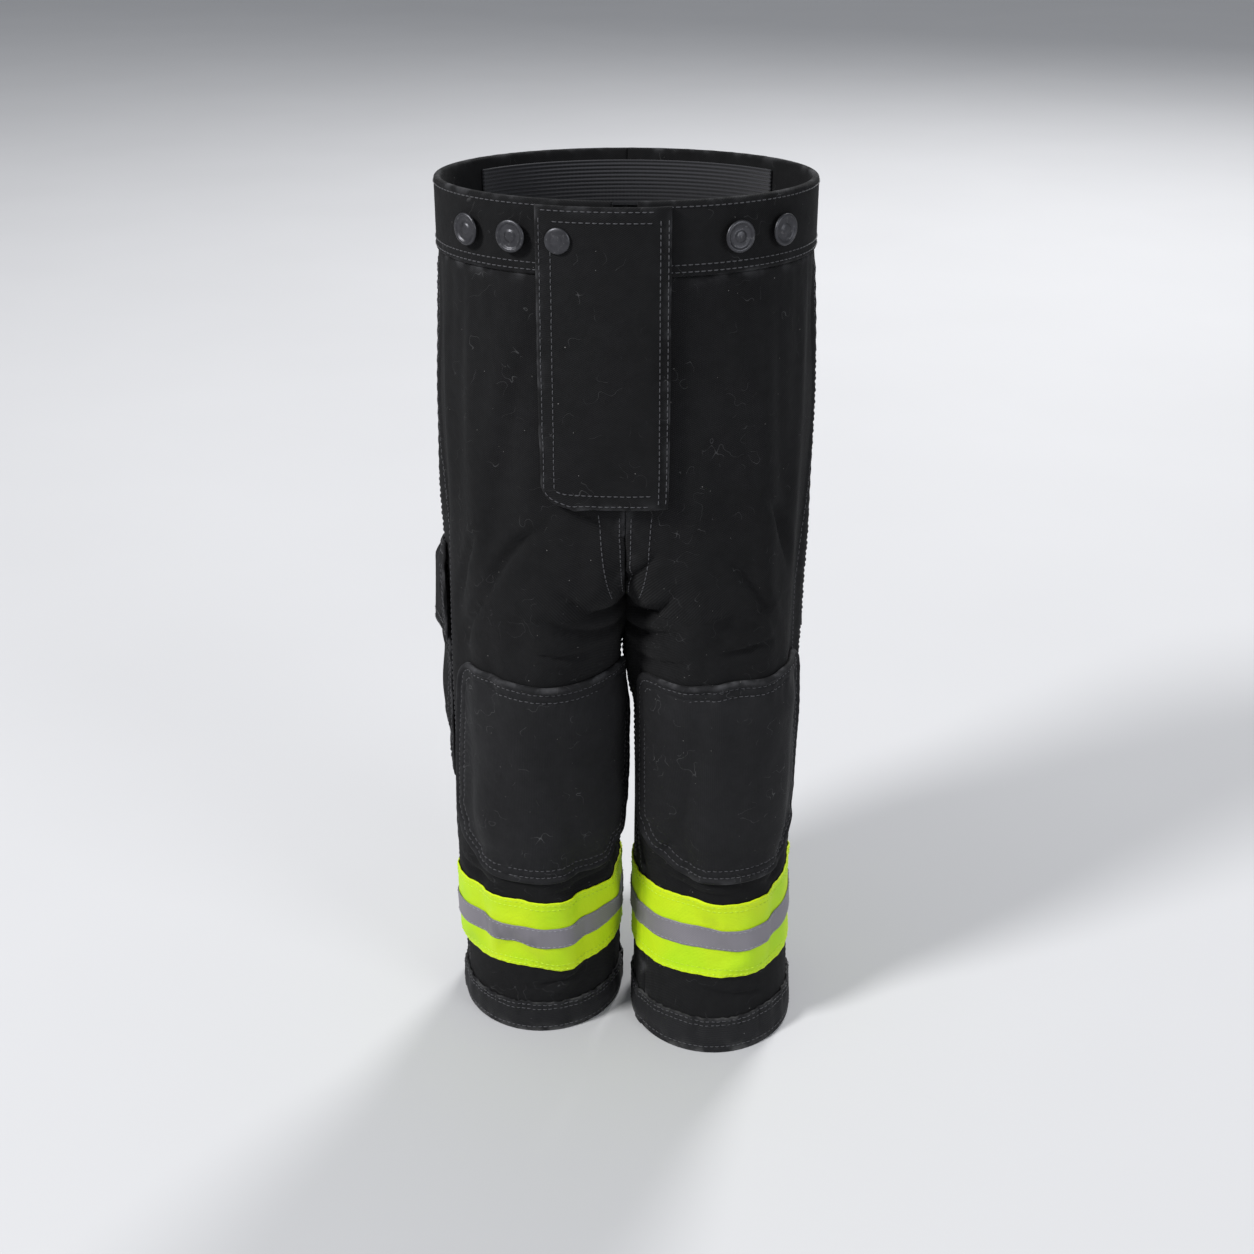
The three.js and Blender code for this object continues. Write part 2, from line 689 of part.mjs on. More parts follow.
for (const { name, side } of sides) {
  const innerEdge = toothMiddleGap + toothLength - toothSpine + toothRootOverlap;
  const at = (u, z) => frontSurface(side * mix(innerEdge, innerEdge + zipTapeWidth, u), z);
  const back = -zipTapeDepth - zipTapeThickness;
  const tape = sheet(at, steps(3), steps(4).map((v) => mix(flyBottom, zipTop, v)), back, -zipTapeDepth);

  // The teeth are one comb, half a pitch higher on one side than on the other.
  const spine = side * (toothMiddleGap + toothLength);
  const root = side * (toothMiddleGap + toothLength - toothSpine);
  const tip = side * toothMiddleGap;
  const comb = new THREE.Shape();
  const first = flyBottom + toothPitch / 2 + (side > 0 ? 0 : toothPitch / 2);
  comb.moveTo(spine, first - toothPitch / 2);
  comb.lineTo(root, first - toothPitch / 2);
  for (let z = first; z + toothPitch < zipTop; z += toothPitch) {
    comb.lineTo(root, z - toothHeight / 2);
    comb.lineTo(tip, z - toothHeight / 2);
    comb.lineTo(tip, z + toothHeight / 2);
    comb.lineTo(root, z + toothHeight / 2);
  }
  comb.lineTo(root, zipTop - toothPitch / 2);
  comb.lineTo(spine, zipTop - toothPitch / 2);
  comb.closePath();
  const teeth = new THREE.ExtrudeGeometry(comb, { depth: toothThickness, bevelEnabled: false });
  teeth.rotateX(QUARTER_TURN);
  teeth.translate(0, towardsBody(toothBack), 0);
  add(`${name}_zip_stringer`, fromManifold(toManifold(tape).add(toManifold(teeth))), zipTape);
}

// The stop bridges both stringers under the last teeth.
const stopTop = flyBottom - clearance;
const stopBottom = stopTop - stopHeight;
const stop = box(
  -stopHalfWidth,
  stopHalfWidth,
  towardsBody(toothFront),
  towardsBody(toothBack),
  stopBottom,
  stopTop,
);
add("zip_bottom_stop", stop.translate(0, shellThickness, 0), darkMetal);

// Slider: two plates joined by a thin post that runs between the rows of teeth, and a bridge for the pull.
const sliderMiddle = zipTop - sliderLength / 2 - sliderBelowTop;
const plateFront = toothFront - sliderPlay - sliderPlate;
const plateBack = toothBack + sliderPlay;
const sliderPieces = [
  box(
    -sliderHalfWidth,
    sliderHalfWidth,
    towardsBody(plateFront),
    towardsBody(plateFront + sliderPlate),
    sliderMiddle - sliderLength / 2,
    sliderMiddle + sliderLength / 2,
  ),
  box(
    -sliderHalfWidth,
    sliderHalfWidth,
    towardsBody(plateBack),
    towardsBody(plateBack + sliderPlate),
    sliderMiddle - sliderLength / 2,
    sliderMiddle + sliderLength / 2,
  ),
  box(
    -sliderPost,
    sliderPost,
    towardsBody(plateFront + sliderPlate / 2),
    towardsBody(plateBack + sliderPlate / 2),
    sliderMiddle - postHalfLength,
    sliderMiddle + postHalfLength,
  ),
];
const bridgeHole = pullThickness + 2 * clearance;
const bridgeOut = plateFront - bridgeHole - bridgeThickness;
const bridgeHalfLength = sliderLength / 2 - 1;
for (const z of [sliderMiddle - bridgeHalfLength, sliderMiddle + bridgeHalfLength - bridgeLegLength]) {
  const leg = box(
    -bridgeWidth / 2,
    bridgeWidth / 2,
    towardsBody(bridgeOut),
    towardsBody(plateFront + sliderPlate / 2),
    z,
    z + bridgeLegLength,
  );
  sliderPieces.push(leg);
}
sliderPieces.push(
  box(
    -bridgeWidth / 2,
    bridgeWidth / 2,
    towardsBody(bridgeOut),
    towardsBody(bridgeOut + bridgeThickness),
    sliderMiddle - bridgeHalfLength,
    sliderMiddle + bridgeHalfLength,
  ),
);
const slider = sliderPieces.map(toManifold).reduce((all, one) => all.add(one));
add("zip_slider", fromManifold(slider), darkMetal);

// Pull: a flat tab with a window at its top, whose upper bar lies inside the bridge.
const pullTop = sliderMiddle + bridgeHalfLength - bridgeLegLength - clearance;
const pullShape = new THREE.Shape();
pullShape.moveTo(-pullWidth / 2, pullTop);
pullShape.lineTo(-pullWidth / 2, pullTop - pullLength + pullWidth / 2);
pullShape.absarc(0, pullTop - pullLength + pullWidth / 2, pullWidth / 2, HALF_TURN, 2 * HALF_TURN);
pullShape.lineTo(pullWidth / 2, pullTop);
pullShape.closePath();
const windowHalf = bridgeWidth / 2 + clearance;
const pullWindow = new THREE.Path();
pullWindow.moveTo(-windowHalf, pullTop - pullBar);
pullWindow.lineTo(windowHalf, pullTop - pullBar);
pullWindow.lineTo(windowHalf, sliderMiddle - bridgeHalfLength - clearance);
pullWindow.lineTo(-windowHalf, sliderMiddle - bridgeHalfLength - clearance);
pullWindow.closePath();
pullShape.holes.push(pullWindow);
const pull = new THREE.ExtrudeGeometry(pullShape, {
  depth: pullThickness,
  bevelEnabled: false,
  curveSegments: 6,
});
pull.rotateX(QUARTER_TURN);
pull.translate(0, towardsBody(plateFront - clearance), 0);
add("zip_pull", pull, zipTape);

// ---- Fly shield, storm flap and its tapes ----

const shieldOuter = -(plateBack + sliderPlate + sliderPlay);
const shieldAt = (u, z) => frontSurface(mix(-shieldHalfWidth, shieldHalfWidth, u), z);
const shieldRows = [flyBottom + shieldRise, zipTop];
const shield = sheet(shieldAt, steps(4), shieldRows, shieldOuter - shieldThickness, shieldOuter);
add("fly_shield", shield, linerCloth);

const flapTop = height - flyFlapTopMargin;
const flapWidthAcross = flyFlapSewn - flyFlapFree;
const cornerRise = (x) => {
  const into = flyFlapCornerRadius - (x - flyFlapFree);
  if (into <= 0) return 0;
  return flyFlapCornerRadius - Math.sqrt(Math.max(flyFlapCornerRadius ** 2 - into ** 2, 0));
};
const flyFlapAt = (u, v) => {
  const x = mix(flyFlapSewn, flyFlapFree, u);
  return frontSurface(x, mix(flyBottom - flyFlapBelow + cornerRise(x), flapTop, v));
};
const flyFlapUnder = (u) =>
  mix(flyFlapSewnStandOff, flyFlapStandOff, smooth((u * flapWidthAcross) / flyFlapRamp));
const flyFlapOver = (u) => flyFlapUnder(u) + flyFlapThickness;
const cornerStart = 1 - flyFlapCornerRadius / flapWidthAcross;
const flyColumns = [
  ...steps(3).map((v) => (v * flyFlapRamp) / flapWidthAcross),
  ...steps(5)
    .slice(1)
    .map((v) => mix(flyFlapRamp / flapWidthAcross, cornerStart, v)),
  ...steps(4)
    .slice(1)
    .map((v) => mix(cornerStart, 1, Math.sin(QUARTER_TURN * v))),
];
const stormFlap = sheet(flyFlapAt, flyColumns, steps(5), flyFlapUnder, flyFlapOver);
add("fly_storm_flap", stormFlap, shellCloth);

function flyTape(inner) {
  const x0 = flyTapeMiddle - flyTapeWidth / 2;
  const bottom = flyBottom + flyTapeRise;
  const at = (u, v) => frontSurface(x0 + flyTapeWidth * u, bottom + flyTapeHeight * v);
  return sheet(at, steps(3), steps(5), inner, inner + flyTapeThickness);
}
add("fly_loop_tape", flyTape(clearance), hookAndLoop);
add("fly_hook_tape", flyTape(flyFlapStandOff - curvedClearance - flyTapeThickness), hookAndLoop);

// ---- Snap and suspender buttons ----

// A turned piece standing on the surface: profile gives [radius, height above the surface] pairs.
function turnedPiece(name, place, outline, segments, finish) {
  const points = outline.map(([r, h]) => new THREE.Vector2(r, h));
  const mesh = add(name, new THREE.LatheGeometry(points, segments), finish);
  mesh.position.copy(place.point);
  const flat = place.normal.clone().setZ(0).normalize();
  mesh.quaternion.setFromUnitVectors(new THREE.Vector3(0, 1, 0), flat);
}

const disc = (radius, low, high) => [
  [0, low],
  [radius, low],
  [radius, high - snapEdge],
  [radius - snapEdge, high],
  [0, high],
];
const snapPlace = frontSurface(snapX, bandMiddle);
const capFoot = flyFlapStandOff + flyFlapThickness + clearance;
const capDisc = disc(snapCapRadius, capFoot, capFoot + snapCapThickness);
turnedPiece("waist_snap_cap", snapPlace, capDisc, 16, darkMetal);
const studFoot = waistbandOutside + clearance;
const studTop = flyFlapStandOff - clearance;
turnedPiece("waist_snap_stud", snapPlace, disc(snapStudRadius, studFoot, studTop), 14, darkMetal);

const buttonFoot = waistbandOutside + clearance;
const buttonOutline = [
  [0, buttonFoot],
  [buttonNeckRadius, buttonFoot],
  [buttonNeckRadius, buttonFoot + buttonStandOff],
  [buttonRadius, buttonFoot + buttonStandOff],
  [buttonRadius, buttonFoot + buttonStandOff + buttonThickness - buttonEdge],
  [buttonRadius - buttonEdge, buttonFoot + buttonStandOff + buttonThickness],
  [0, buttonFoot + buttonStandOff + buttonThickness],
];
for (const { name, side } of sides) {
  frontButtonX.forEach((x, i) => {
    const place = frontSurface(side * x, bandMiddle);
    turnedPiece(`${name}_front_suspender_button_${i + 1}`, place, buttonOutline, 14, darkMetal);
  });
  backButtonX.forEach((x, i) => {
    const place = backSurface(side * x, bandMiddle);
    turnedPiece(`${name}_back_suspender_button_${i + 1}`, place, buttonOutline, 14, darkMetal);
  });
}

// The origin goes under the middle of the finished garment.
const bounds = new THREE.Box3().setFromObject(pants);
const middle = bounds.getCenter(new THREE.Vector3());
pants.position.set(-middle.x, -middle.y, -bounds.min.z);

export default pants;
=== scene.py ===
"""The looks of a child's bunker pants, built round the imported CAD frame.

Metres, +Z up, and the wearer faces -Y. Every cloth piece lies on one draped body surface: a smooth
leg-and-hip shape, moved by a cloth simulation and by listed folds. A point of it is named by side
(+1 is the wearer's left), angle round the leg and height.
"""

import math

import bmesh
import bpy
import numpy as np
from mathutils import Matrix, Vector


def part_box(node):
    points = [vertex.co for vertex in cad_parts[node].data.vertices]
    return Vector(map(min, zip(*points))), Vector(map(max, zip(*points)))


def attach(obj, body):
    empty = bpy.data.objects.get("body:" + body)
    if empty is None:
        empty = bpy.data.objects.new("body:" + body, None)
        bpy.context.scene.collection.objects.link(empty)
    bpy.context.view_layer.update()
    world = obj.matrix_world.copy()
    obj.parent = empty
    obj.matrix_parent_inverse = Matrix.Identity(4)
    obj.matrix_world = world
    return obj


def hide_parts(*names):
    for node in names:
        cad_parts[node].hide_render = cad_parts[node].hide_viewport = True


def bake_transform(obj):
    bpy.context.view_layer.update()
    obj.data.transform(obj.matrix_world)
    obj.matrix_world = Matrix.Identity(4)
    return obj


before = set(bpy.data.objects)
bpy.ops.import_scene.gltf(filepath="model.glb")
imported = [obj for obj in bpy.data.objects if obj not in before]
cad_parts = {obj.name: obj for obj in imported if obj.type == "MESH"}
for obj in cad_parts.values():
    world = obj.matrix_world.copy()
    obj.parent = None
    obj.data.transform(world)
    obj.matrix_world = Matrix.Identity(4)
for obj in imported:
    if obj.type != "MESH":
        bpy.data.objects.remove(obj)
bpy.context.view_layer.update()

MM = 0.001
PI = math.pi
QUARTER = math.pi / 2
SIDES = {"left": 1, "right": -1}


# ---- Sizes, from the frame where it has them ----

def z_range(node):
    low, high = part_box(node)
    return low.z, high.z


HEIGHT = z_range("left_waistband")[1]
BAND_BOTTOM = z_range("left_waistband")[0]
CUFF_TOP = z_range("right_cuff_binding")[1]
TRIM_BOTTOM, TRIM_TOP = z_range("right_trim_band")
STRIPE_BOTTOM, STRIPE_TOP = z_range("right_trim_stripe")
PATCH_BOTTOM, PATCH_TOP = z_range("right_knee_patch")
POCKET_BOTTOM, POCKET_TOP = z_range("right_cargo_pocket")
FLAP_BOTTOM, FLAP_TOP = z_range("right_pocket_flap")
INSEAM = 285 * MM
HIP_BLEND = 100 * MM
FLY_BOTTOM = 354 * MM
MIDDLE_X = sum(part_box("fly_shield")[i].x for i in (0, 1)) / 2
FRONT_PLANE = -76 * MM
BAND_OUT = 1.2 * MM
MIDDLE_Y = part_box("left_waistband")[0].y - FRONT_PLANE + BAND_OUT
LEFT_HEM_FORWARD = 20 * MM
FORWARD_FADE = 135 * MM
LEFT_SEAM_TURN = math.radians(30)
PATCH_TURN = {"left": math.radians(17), "right": math.radians(-7)}
POCKET_MIDDLE = {"left": math.radians(50), "right": math.radians(30)}
LEG_RADIUS = 49 * MM
EDGE_WEAR = 1.6 * MM


def clamp01(x):
    return np.clip(x, 0.0, 1.0)


def smooth(x):
    x = clamp01(x)
    return x * x * (3 - 2 * x)


def mix(a, b, t):
    return a + (b - a) * t


def profile(points):
    """A smooth curve through (z, value) pairs, level at both ends, as the CAD has it."""
    zs = np.array([p[0] for p in points]) * MM
    vs = np.array([p[1] for p in points]) * MM
    slope = np.zeros(len(points))
    slope[1:-1] = (vs[2:] - vs[:-2]) / (zs[2:] - zs[:-2])

    def at(z):
        z = np.clip(z, zs[0], zs[-1])
        i = np.clip(np.searchsorted(zs, z, side="left") - 1, 0, len(zs) - 2)
        h = zs[i + 1] - zs[i]
        t = (z - zs[i]) / h
        rise = vs[i] * (2 * t**3 - 3 * t**2 + 1) + vs[i + 1] * (3 * t**2 - 2 * t**3)
        return rise + slope[i] * h * (t**3 - 2 * t**2 + t) + slope[i + 1] * h * (t**3 - t**2)

    return at


half_width_at = profile([(0, 100), (112, 98), (285, 98), (385, 104), (468, 98)])
front_at = profile([(0, -53), (180, -57), (340, -76)])
back_at = profile([(0, 53), (180, 56.5), (285, 74), (385, 88), (468, 74)])


def leg_gap_at(z):
    return mix(0.8, 9.0, 1 - np.exp(-np.maximum(INSEAM - z, 0) / (45 * MM))) * MM


def section(side, z):
    """Centre and half axes of one leg's ellipse at height z."""
    whole = half_width_at(z)
    merge = np.where(z <= INSEAM, 0.0, np.sin(QUARTER * clamp01((z - INSEAM) / HIP_BLEND)))
    inner = np.where(z <= INSEAM, leg_gap_at(z) / 2, 0.4 * MM * (1 - merge))
    rx = mix((whole - inner) / 2, whole, merge)
    forward = np.where(side > 0, LEFT_HEM_FORWARD * clamp01(1 - z / FORWARD_FADE) ** 2, 0.0)
    front = front_at(z) - forward
    back = back_at(z) - forward
    return whole - rx, (front + back) / 2, rx, (back - front) / 2


def base_point(side, t, z):
    cx, cy, rx, ry = section(side, z)
    x = side * (cx + rx * np.cos(t)) + MIDDLE_X
    y = cy + ry * np.sin(t) + MIDDLE_Y
    return np.stack(np.broadcast_arrays(x, y, z), -1)


def inner_angle(side, z, half_gap=0.2 * MM):
    """Where one half of the garment ends: the leg's inside, or above the crotch the middle seam."""
    cx, _, rx, _ = section(side, z)
    across = np.arccos(np.clip((half_gap - cx) / rx, -1, 1))
    return np.where(cx - rx >= half_gap, PI, across)


# ---- Listed folds ----

def arc_length(side, t, z):
    """Distance round the leg from the outside seam, taken on a circle of the section's mean radius."""
    _, _, rx, ry = section(side, z)
    return t * (rx + ry) / 2


# Each fold runs from one (angle in degrees, height in mm) to another and has a half width and a height in mm:
# a ridge where the height is positive, a crease where it is negative.
FOLDS = {
    "right": [
        # drag lines from the crotch over the thigh
        ((-150, 262), (-62, 306), 8, 2.6), ((-158, 250), (-84, 272), 6, 1.8),
        ((-140, 300), (-70, 330), 9, 2.2),
        # a slack lobe over the hip
        ((-38, 296), (-58, 348), 13, 3.6), ((-66, 300), (-80, 345), 6, -2.0),
        # soft breaks beside the knee patch and under it
        ((-20, 236), (-8, 150), 9, 1.6), ((-166, 214), (-150, 120), 8, 1.8),
        ((-118, 107), (-40, 102), 5, 1.6),
        # slack over the cuff
        ((-150, 40), (-70, 33), 7, 1.5), ((-60, 36), (10, 43), 6, 1.3),
        # creases behind the knee
        ((58, 205), (150, 188), 7, 2.4), ((50, 186), (140, 168), 6, -2.2),
        ((60, 158), (158, 150), 8, 2.2), ((70, 128), (150, 118), 7, 1.6),
        # under the seat
        ((70, 284), (150, 262), 9, 2.8), ((80, 268), (162, 246), 6, -2.0),
        ((60, 330), (120, 318), 12, 2.0),
    ],
    "left": [
        # drag lines from the crotch over the thigh
        ((-164, 254), (-74, 300), 7, 3.0), ((-160, 240), (-96, 262), 6, 2.2),
        ((-148, 292), (-86, 322), 7, 2.4), ((-120, 262), (-66, 276), 5, -1.8),
        ((-60, 318), (-38, 268), 9, 2.0),
        # the pleat that runs down the inside of the front
        ((-147, 250), (-149, 28), 4.5, -3.6), ((-137, 240), (-138, 34), 6, 1.8),
        # slack at the outside of the knee and under the patch
        ((-4, 240), (4, 140), 9, 1.8), ((-120, 106), (-30, 103), 5, 1.8),
        # slack over the cuff
        ((-130, 38), (-50, 31), 7, 1.8), ((-40, 42), (30, 34), 7, 1.6),
        # creases behind the knee
        ((70, 208), (158, 196), 7, 2.4), ((62, 190), (150, 176), 6, -2.2),
        ((74, 162), (166, 156), 8, 2.4), ((90, 130), (165, 116), 7, 1.8),
        # under the seat
        ((76, 280), (156, 258), 9, 2.8), ((84, 262), (166, 240), 6, -2.0),
        ((64, 334), (118, 320), 12, 2.0),
    ],
}
# Sharper creases, added after the cloth has settled. The form is the same.
CREASES = {
    "right": [
        ((-152, 268), (-96, 286), 2.6, -2.2), ((-148, 281), (-88, 302), 2.8, -1.9),
        ((-128, 262), (-84, 268), 2.2, -1.4), ((-52, 296), (-70, 338), 3.2, -2.4),
        ((-30, 252), (-52, 292), 2.8, -1.8), ((-24, 276), (-44, 330), 3.0, -1.6),
        ((-104, 330), (-76, 352), 3.2, -1.5), ((-150, 108), (-96, 103), 2.4, -1.5),
        ((-70, 104), (-22, 109), 2.4, -1.4), ((-130, 44), (-84, 34), 2.2, -1.3),
        ((62, 196), (138, 182), 2.6, -2.0), ((48, 172), (120, 166), 2.4, -1.6),
        ((92, 148), (160, 136), 2.6, -1.7), ((78, 276), (156, 252), 3.0, -2.2),
        ((70, 258), (128, 246), 2.6, -1.6), ((100, 320), (128, 372), 3.2, -1.6),
    ],
    "left": [
        ((-166, 262), (-108, 282), 2.6, -2.4), ((-158, 276), (-92, 304), 2.8, -2.2),
        ((-150, 250), (-104, 262), 2.4, -1.8), ((-134, 300), (-92, 324), 2.6, -1.5),
        ((-46, 268), (-66, 318), 3.0, -1.8), ((-30, 300), (-48, 352), 3.2, -1.7),
        ((-88, 262), (-50, 268), 2.4, -1.5), ((-128, 108), (-76, 103), 2.4, -1.6),
        ((-56, 104), (-12, 108), 2.4, -1.4), ((-100, 42), (-50, 33), 2.2, -1.3),
        ((74, 200), (146, 188), 2.6, -2.0), ((66, 176), (132, 168), 2.4, -1.6),
        ((104, 150), (168, 138), 2.6, -1.7), ((80, 270), (158, 248), 3.0, -2.2),
        ((72, 252), (126, 240), 2.6, -1.6), ((98, 318), (122, 366), 3.2, -1.6),
    ],
}
# Soft unevenness all over, as (waves round the garment, pitch up it, height): the last two in mm.
SWELLS = [(3, 31, 0.7), (5, -17, 0.5), (2, 47, 0.8), (7, 23, 0.35), (4, -38, 0.5), (6, 55, 0.3)]
FOLD_GAIN = 1.1
CREASE_GAIN = 1.8
FLY_ZONE = 64 * MM


def fold_height(folds, side, t, z):
    """How far a list of folds moves the surface outwards."""
    around = arc_length(side, t, z)
    total = np.zeros_like(around)
    for (t0, z0), (t1, z1), width, height in folds:
        ends = [(math.radians(a), h * MM) for a, h in ((t0, z0), (t1, z1))]
        (a0, h0), (a1, h1) = [(float(arc_length(side, np.array(a), np.array(h))), h) for a, h in ends]
        run = math.hypot(a1 - a0, h1 - h0)
        along = ((around - a0) * (a1 - a0) + (z - h0) * (h1 - h0)) / run**2
        across = ((around - a0) * (h1 - h0) - (z - h0) * (a1 - a0)) / run
        bow = 0.06 * run * (1 - (2 * along - 1) ** 2)
        d = (across - bow) / (width * MM)
        taper = smooth(np.minimum(along + 0.15, 1.15 - along) / 0.5)
        crest = 1 / (1 + d**2) ** 2
        beside = np.exp(-((np.abs(d) - 1.9) ** 2))
        total += height * MM * taper * (crest - 0.22 * beside)
    return total


def swell_height(side, t, z):
    total = np.zeros(t.shape)
    for k, (waves, pitch, height) in enumerate(SWELLS):
        total += height * MM * np.sin(waves * t + side * k + 2 * PI * z / (pitch * 3.1 * MM))
    return total


def by_fly(side, t, z):
    """1 where the fly's layers hold the front flat, 0 away from them."""
    cx, _, rx, _ = section(side, z)
    x = cx + rx * np.cos(t)
    return np.exp(-((x / FLY_ZONE) ** 4)) * (t < 0) * smooth((z - FLY_BOTTOM + 14 * MM) / (16 * MM))


def looseness(side, t, z):
    """1 where the cloth is free to fold, 0 at the waistband and the cuffs, and small under the fly."""
    ends = smooth((BAND_BOTTOM - z) / (40 * MM)) * smooth((z - 8 * MM) / (20 * MM))
    return ends * (1 - 0.9 * by_fly(side, t, z))


# ---- The draped surface ----

COLUMNS = 64
ROW = 5 * MM
ROWS = int(round(HEIGHT / ROW))
PAD = 2
SIM_FRAMES = 24
MOST_OUT = 5.5 * MM
MOST_IN = 2.6 * MM
MOST_ALONG = 2 * MM
SEAM_HALF = -0.15 * MM
SEAM_WIDTH = 9 * MM
grid_u = np.linspace(-1, 1, COLUMNS + 1)
grid_z = np.arange(ROWS + 1) * ROW
above = grid_z > INSEAM + 1e-6


def link(name, data):
    obj = bpy.data.objects.new(name, data)
    bpy.context.scene.collection.objects.link(obj)
    return obj


def quads(index, joined=False):
    """The corners of every cell of a grid of point numbers. joined joins the last column to the first."""
    if joined:
        index = np.concatenate([index, index[..., :1]], -1)
    corners = (index[..., :-1, :-1], index[..., :-1, 1:], index[..., 1:, 1:], index[..., 1:, :-1])
    return np.stack([corner.ravel() for corner in corners], 1)


def grid_of(side):
    z = np.repeat(grid_z[:, None], COLUMNS + 1, 1)
    t = grid_u[None, :] * inner_angle(side, z)
    return t, z


def surface_normal(side, t, z, point_at, step_t=0.01, step_z=1 * MM):
    along = point_at(side, t + step_t, z) - point_at(side, t - step_t, z)
    up = point_at(side, t, z + step_z) - point_at(side, t, z - step_z)
    normal = np.cross(along, up) * np.asarray(side, float)[..., None]
    return normal / np.maximum(np.linalg.norm(normal, axis=-1, keepdims=True), 1e-12)


def folded_grid(side):
    """The grid's points at rest, and moved by the listed folds."""
    t, z = grid_of(side)
    rest = base_point(side, t, z)
    normal = surface_normal(np.full(t.shape, side), t, z, base_point)
    folds = FOLDS["left" if side > 0 else "right"]
    lift = FOLD_GAIN * fold_height(folds, side, t, z) + swell_height(side, t, z)
    lift = lift * looseness(side, t, z)
    return rest, rest + normal * lift[..., None]


def garment_mesh(points):
    """One mesh of both halves, joined down the middle above the crotch and along each inseam below it.
    Gives its points and faces, which grid points they are, and each grid point's number."""
    index = np.arange(2 * (ROWS + 1) * (COLUMNS + 1)).reshape(2, ROWS + 1, COLUMNS + 1)
    below = ~above
    index[:, below, -1] = index[:, below, 0]
    index[1, above, 0] = index[0, above, 0]
    index[1, above, -1] = index[0, above, -1]
    crotch = int(np.sum(below)) - 1
    gusset = [index[0, crotch, 0], index[0, crotch + 1, 0], index[1, crotch, 0], index[0, crotch + 1, -1]]
    faces = np.concatenate([quads(index[0]), quads(index[1])[:, ::-1], [gusset]])
    used, flat = np.unique(faces, return_inverse=True)
    return points.reshape(-1, 3)[used], flat.reshape(-1, 4), used, index


def simulate_drape(start):
    """Lets the folded garment settle as cloth a little too big for its shape, held at its ends."""
    verts, faces, used, index = garment_mesh(start)
    mesh = bpy.data.meshes.new("drape_sim")
    mesh.from_pydata(verts.tolist(), [], faces.tolist())
    obj = link("drape_sim", mesh)
    group = obj.vertex_groups.new(name="held")
    loose = np.stack([looseness(s, *grid_of(s)) for s in (1, -1)]).reshape(-1)[used]
    for i, share in enumerate(loose):
        group.add([i], float(1 - share) ** 2 * 0.96 + 0.04, "REPLACE")
    cloth = obj.modifiers.new("Cloth", "CLOTH")
    settings = cloth.settings
    settings.quality = 5
    settings.mass = 0.4
    settings.tension_stiffness = 18
    settings.compression_stiffness = 18
    settings.shear_stiffness = 8
    settings.bending_stiffness = 1.0
    settings.vertex_group_mass = "held"
    settings.pin_stiffness = 0.35
    settings.shrink_min = -0.055
    settings.effector_weights.gravity = 0.5
    cloth.collision_settings.use_collision = False
    cloth.point_cache.frame_end = SIM_FRAMES
    for frame_number in range(1, SIM_FRAMES + 1):
        bpy.context.scene.frame_set(frame_number)
    moved = np.zeros(len(verts) * 3)
    settled_obj = obj.evaluated_get(bpy.context.evaluated_depsgraph_get())
    settled_obj.data.vertices.foreach_get("co", moved)
    bpy.context.scene.frame_set(1)
    bpy.data.objects.remove(obj)
    full = start.reshape(-1, 3).copy()
    full[used] = moved.reshape(-1, 3)
    return full[index.reshape(-1)].reshape(start.shape)


def capped_shift(shift):
    """Limits how far the cloth may move: less inwards than outwards, and less still near the hem, between
    the legs and under the fly. On the middle seam both halves share one shift, which stays on the middle."""
    normal = np.stack([
        surface_normal(np.full(grid_of(s)[0].shape, s), *grid_of(s), base_point) for s in (1, -1)
    ])
    outward = (shift * normal).sum(-1, keepdims=True)
    most_in = MOST_IN * mix(0.25, 1, smooth((grid_z - 90 * MM) / (60 * MM)))[:, None, None]
    most_in = most_in * mix(0.25, 1, smooth((1 - np.abs(grid_u)) * 5))[:, None]
    most = np.where(outward > 0, MOST_OUT, most_in)
    sideways = shift - outward * normal
    length = np.linalg.norm(sideways, axis=-1, keepdims=True)
    sideways *= MOST_ALONG * np.tanh(length / MOST_ALONG) / np.maximum(length, 1e-9)
    made = most * np.tanh(outward / most) * normal + sideways
    made *= 1 - 0.85 * np.stack([by_fly(s, *grid_of(s)) for s in (1, -1)])[..., None]
    made[..., 2] *= smooth(grid_z / (25 * MM))[:, None]
    made[:, above, :, 0] *= smooth((1 - np.abs(grid_u)) * 8)
    for column in (0, -1):
        made[:, above, column] = made[:, above, column].mean(0)
    return made


def padded_field(values):
    """The field with spare columns and rows: wrapped round a leg, mirrored over the middle above it."""
    wide = np.pad(values, ((0, 0), (PAD, PAD), (PAD, PAD), (0, 0)), mode="edge")
    below = np.concatenate([[True] * PAD, ~above, [False] * PAD])
    last = PAD + COLUMNS
    for k in range(1, PAD + 1):
        wide[:, below, PAD - k] = wide[:, below, last - k]
        wide[:, below, last + k] = wide[:, below, PAD + k]
        for s in (0, 1):
            wide[s, ~below, PAD - k] = wide[1 - s, ~below, PAD + k]
            wide[s, ~below, last + k] = wide[1 - s, ~below, last - k]
    return wide


rest_grid, start_grid = (np.stack(g) for g in zip(*(folded_grid(s) for s in (1, -1))))
settled_grid = simulate_drape(start_grid)
field = padded_field(capped_shift(settled_grid - rest_grid))


def spline_weights(f):
    inner = [(3 * f**3 - 6 * f**2 + 4) / 6, (-3 * f**3 + 3 * f**2 + 3 * f + 1) / 6]
    return [(1 - f) ** 3 / 6, *inner, f**3 / 6]


def seam_turn(side, z):
    """How far the left leg's seams are turned outwards at height z."""
    return np.where(np.asarray(side) > 0, LEFT_SEAM_TURN * smooth((INSEAM - z) / (INSEAM * 0.62)), 0.0)


def wrapped_angle(t, z):
    """The angle within one turn, below the crotch, where a leg goes all the way round."""
    return np.where(z <= INSEAM, (t + PI) % (2 * PI) - PI, t)


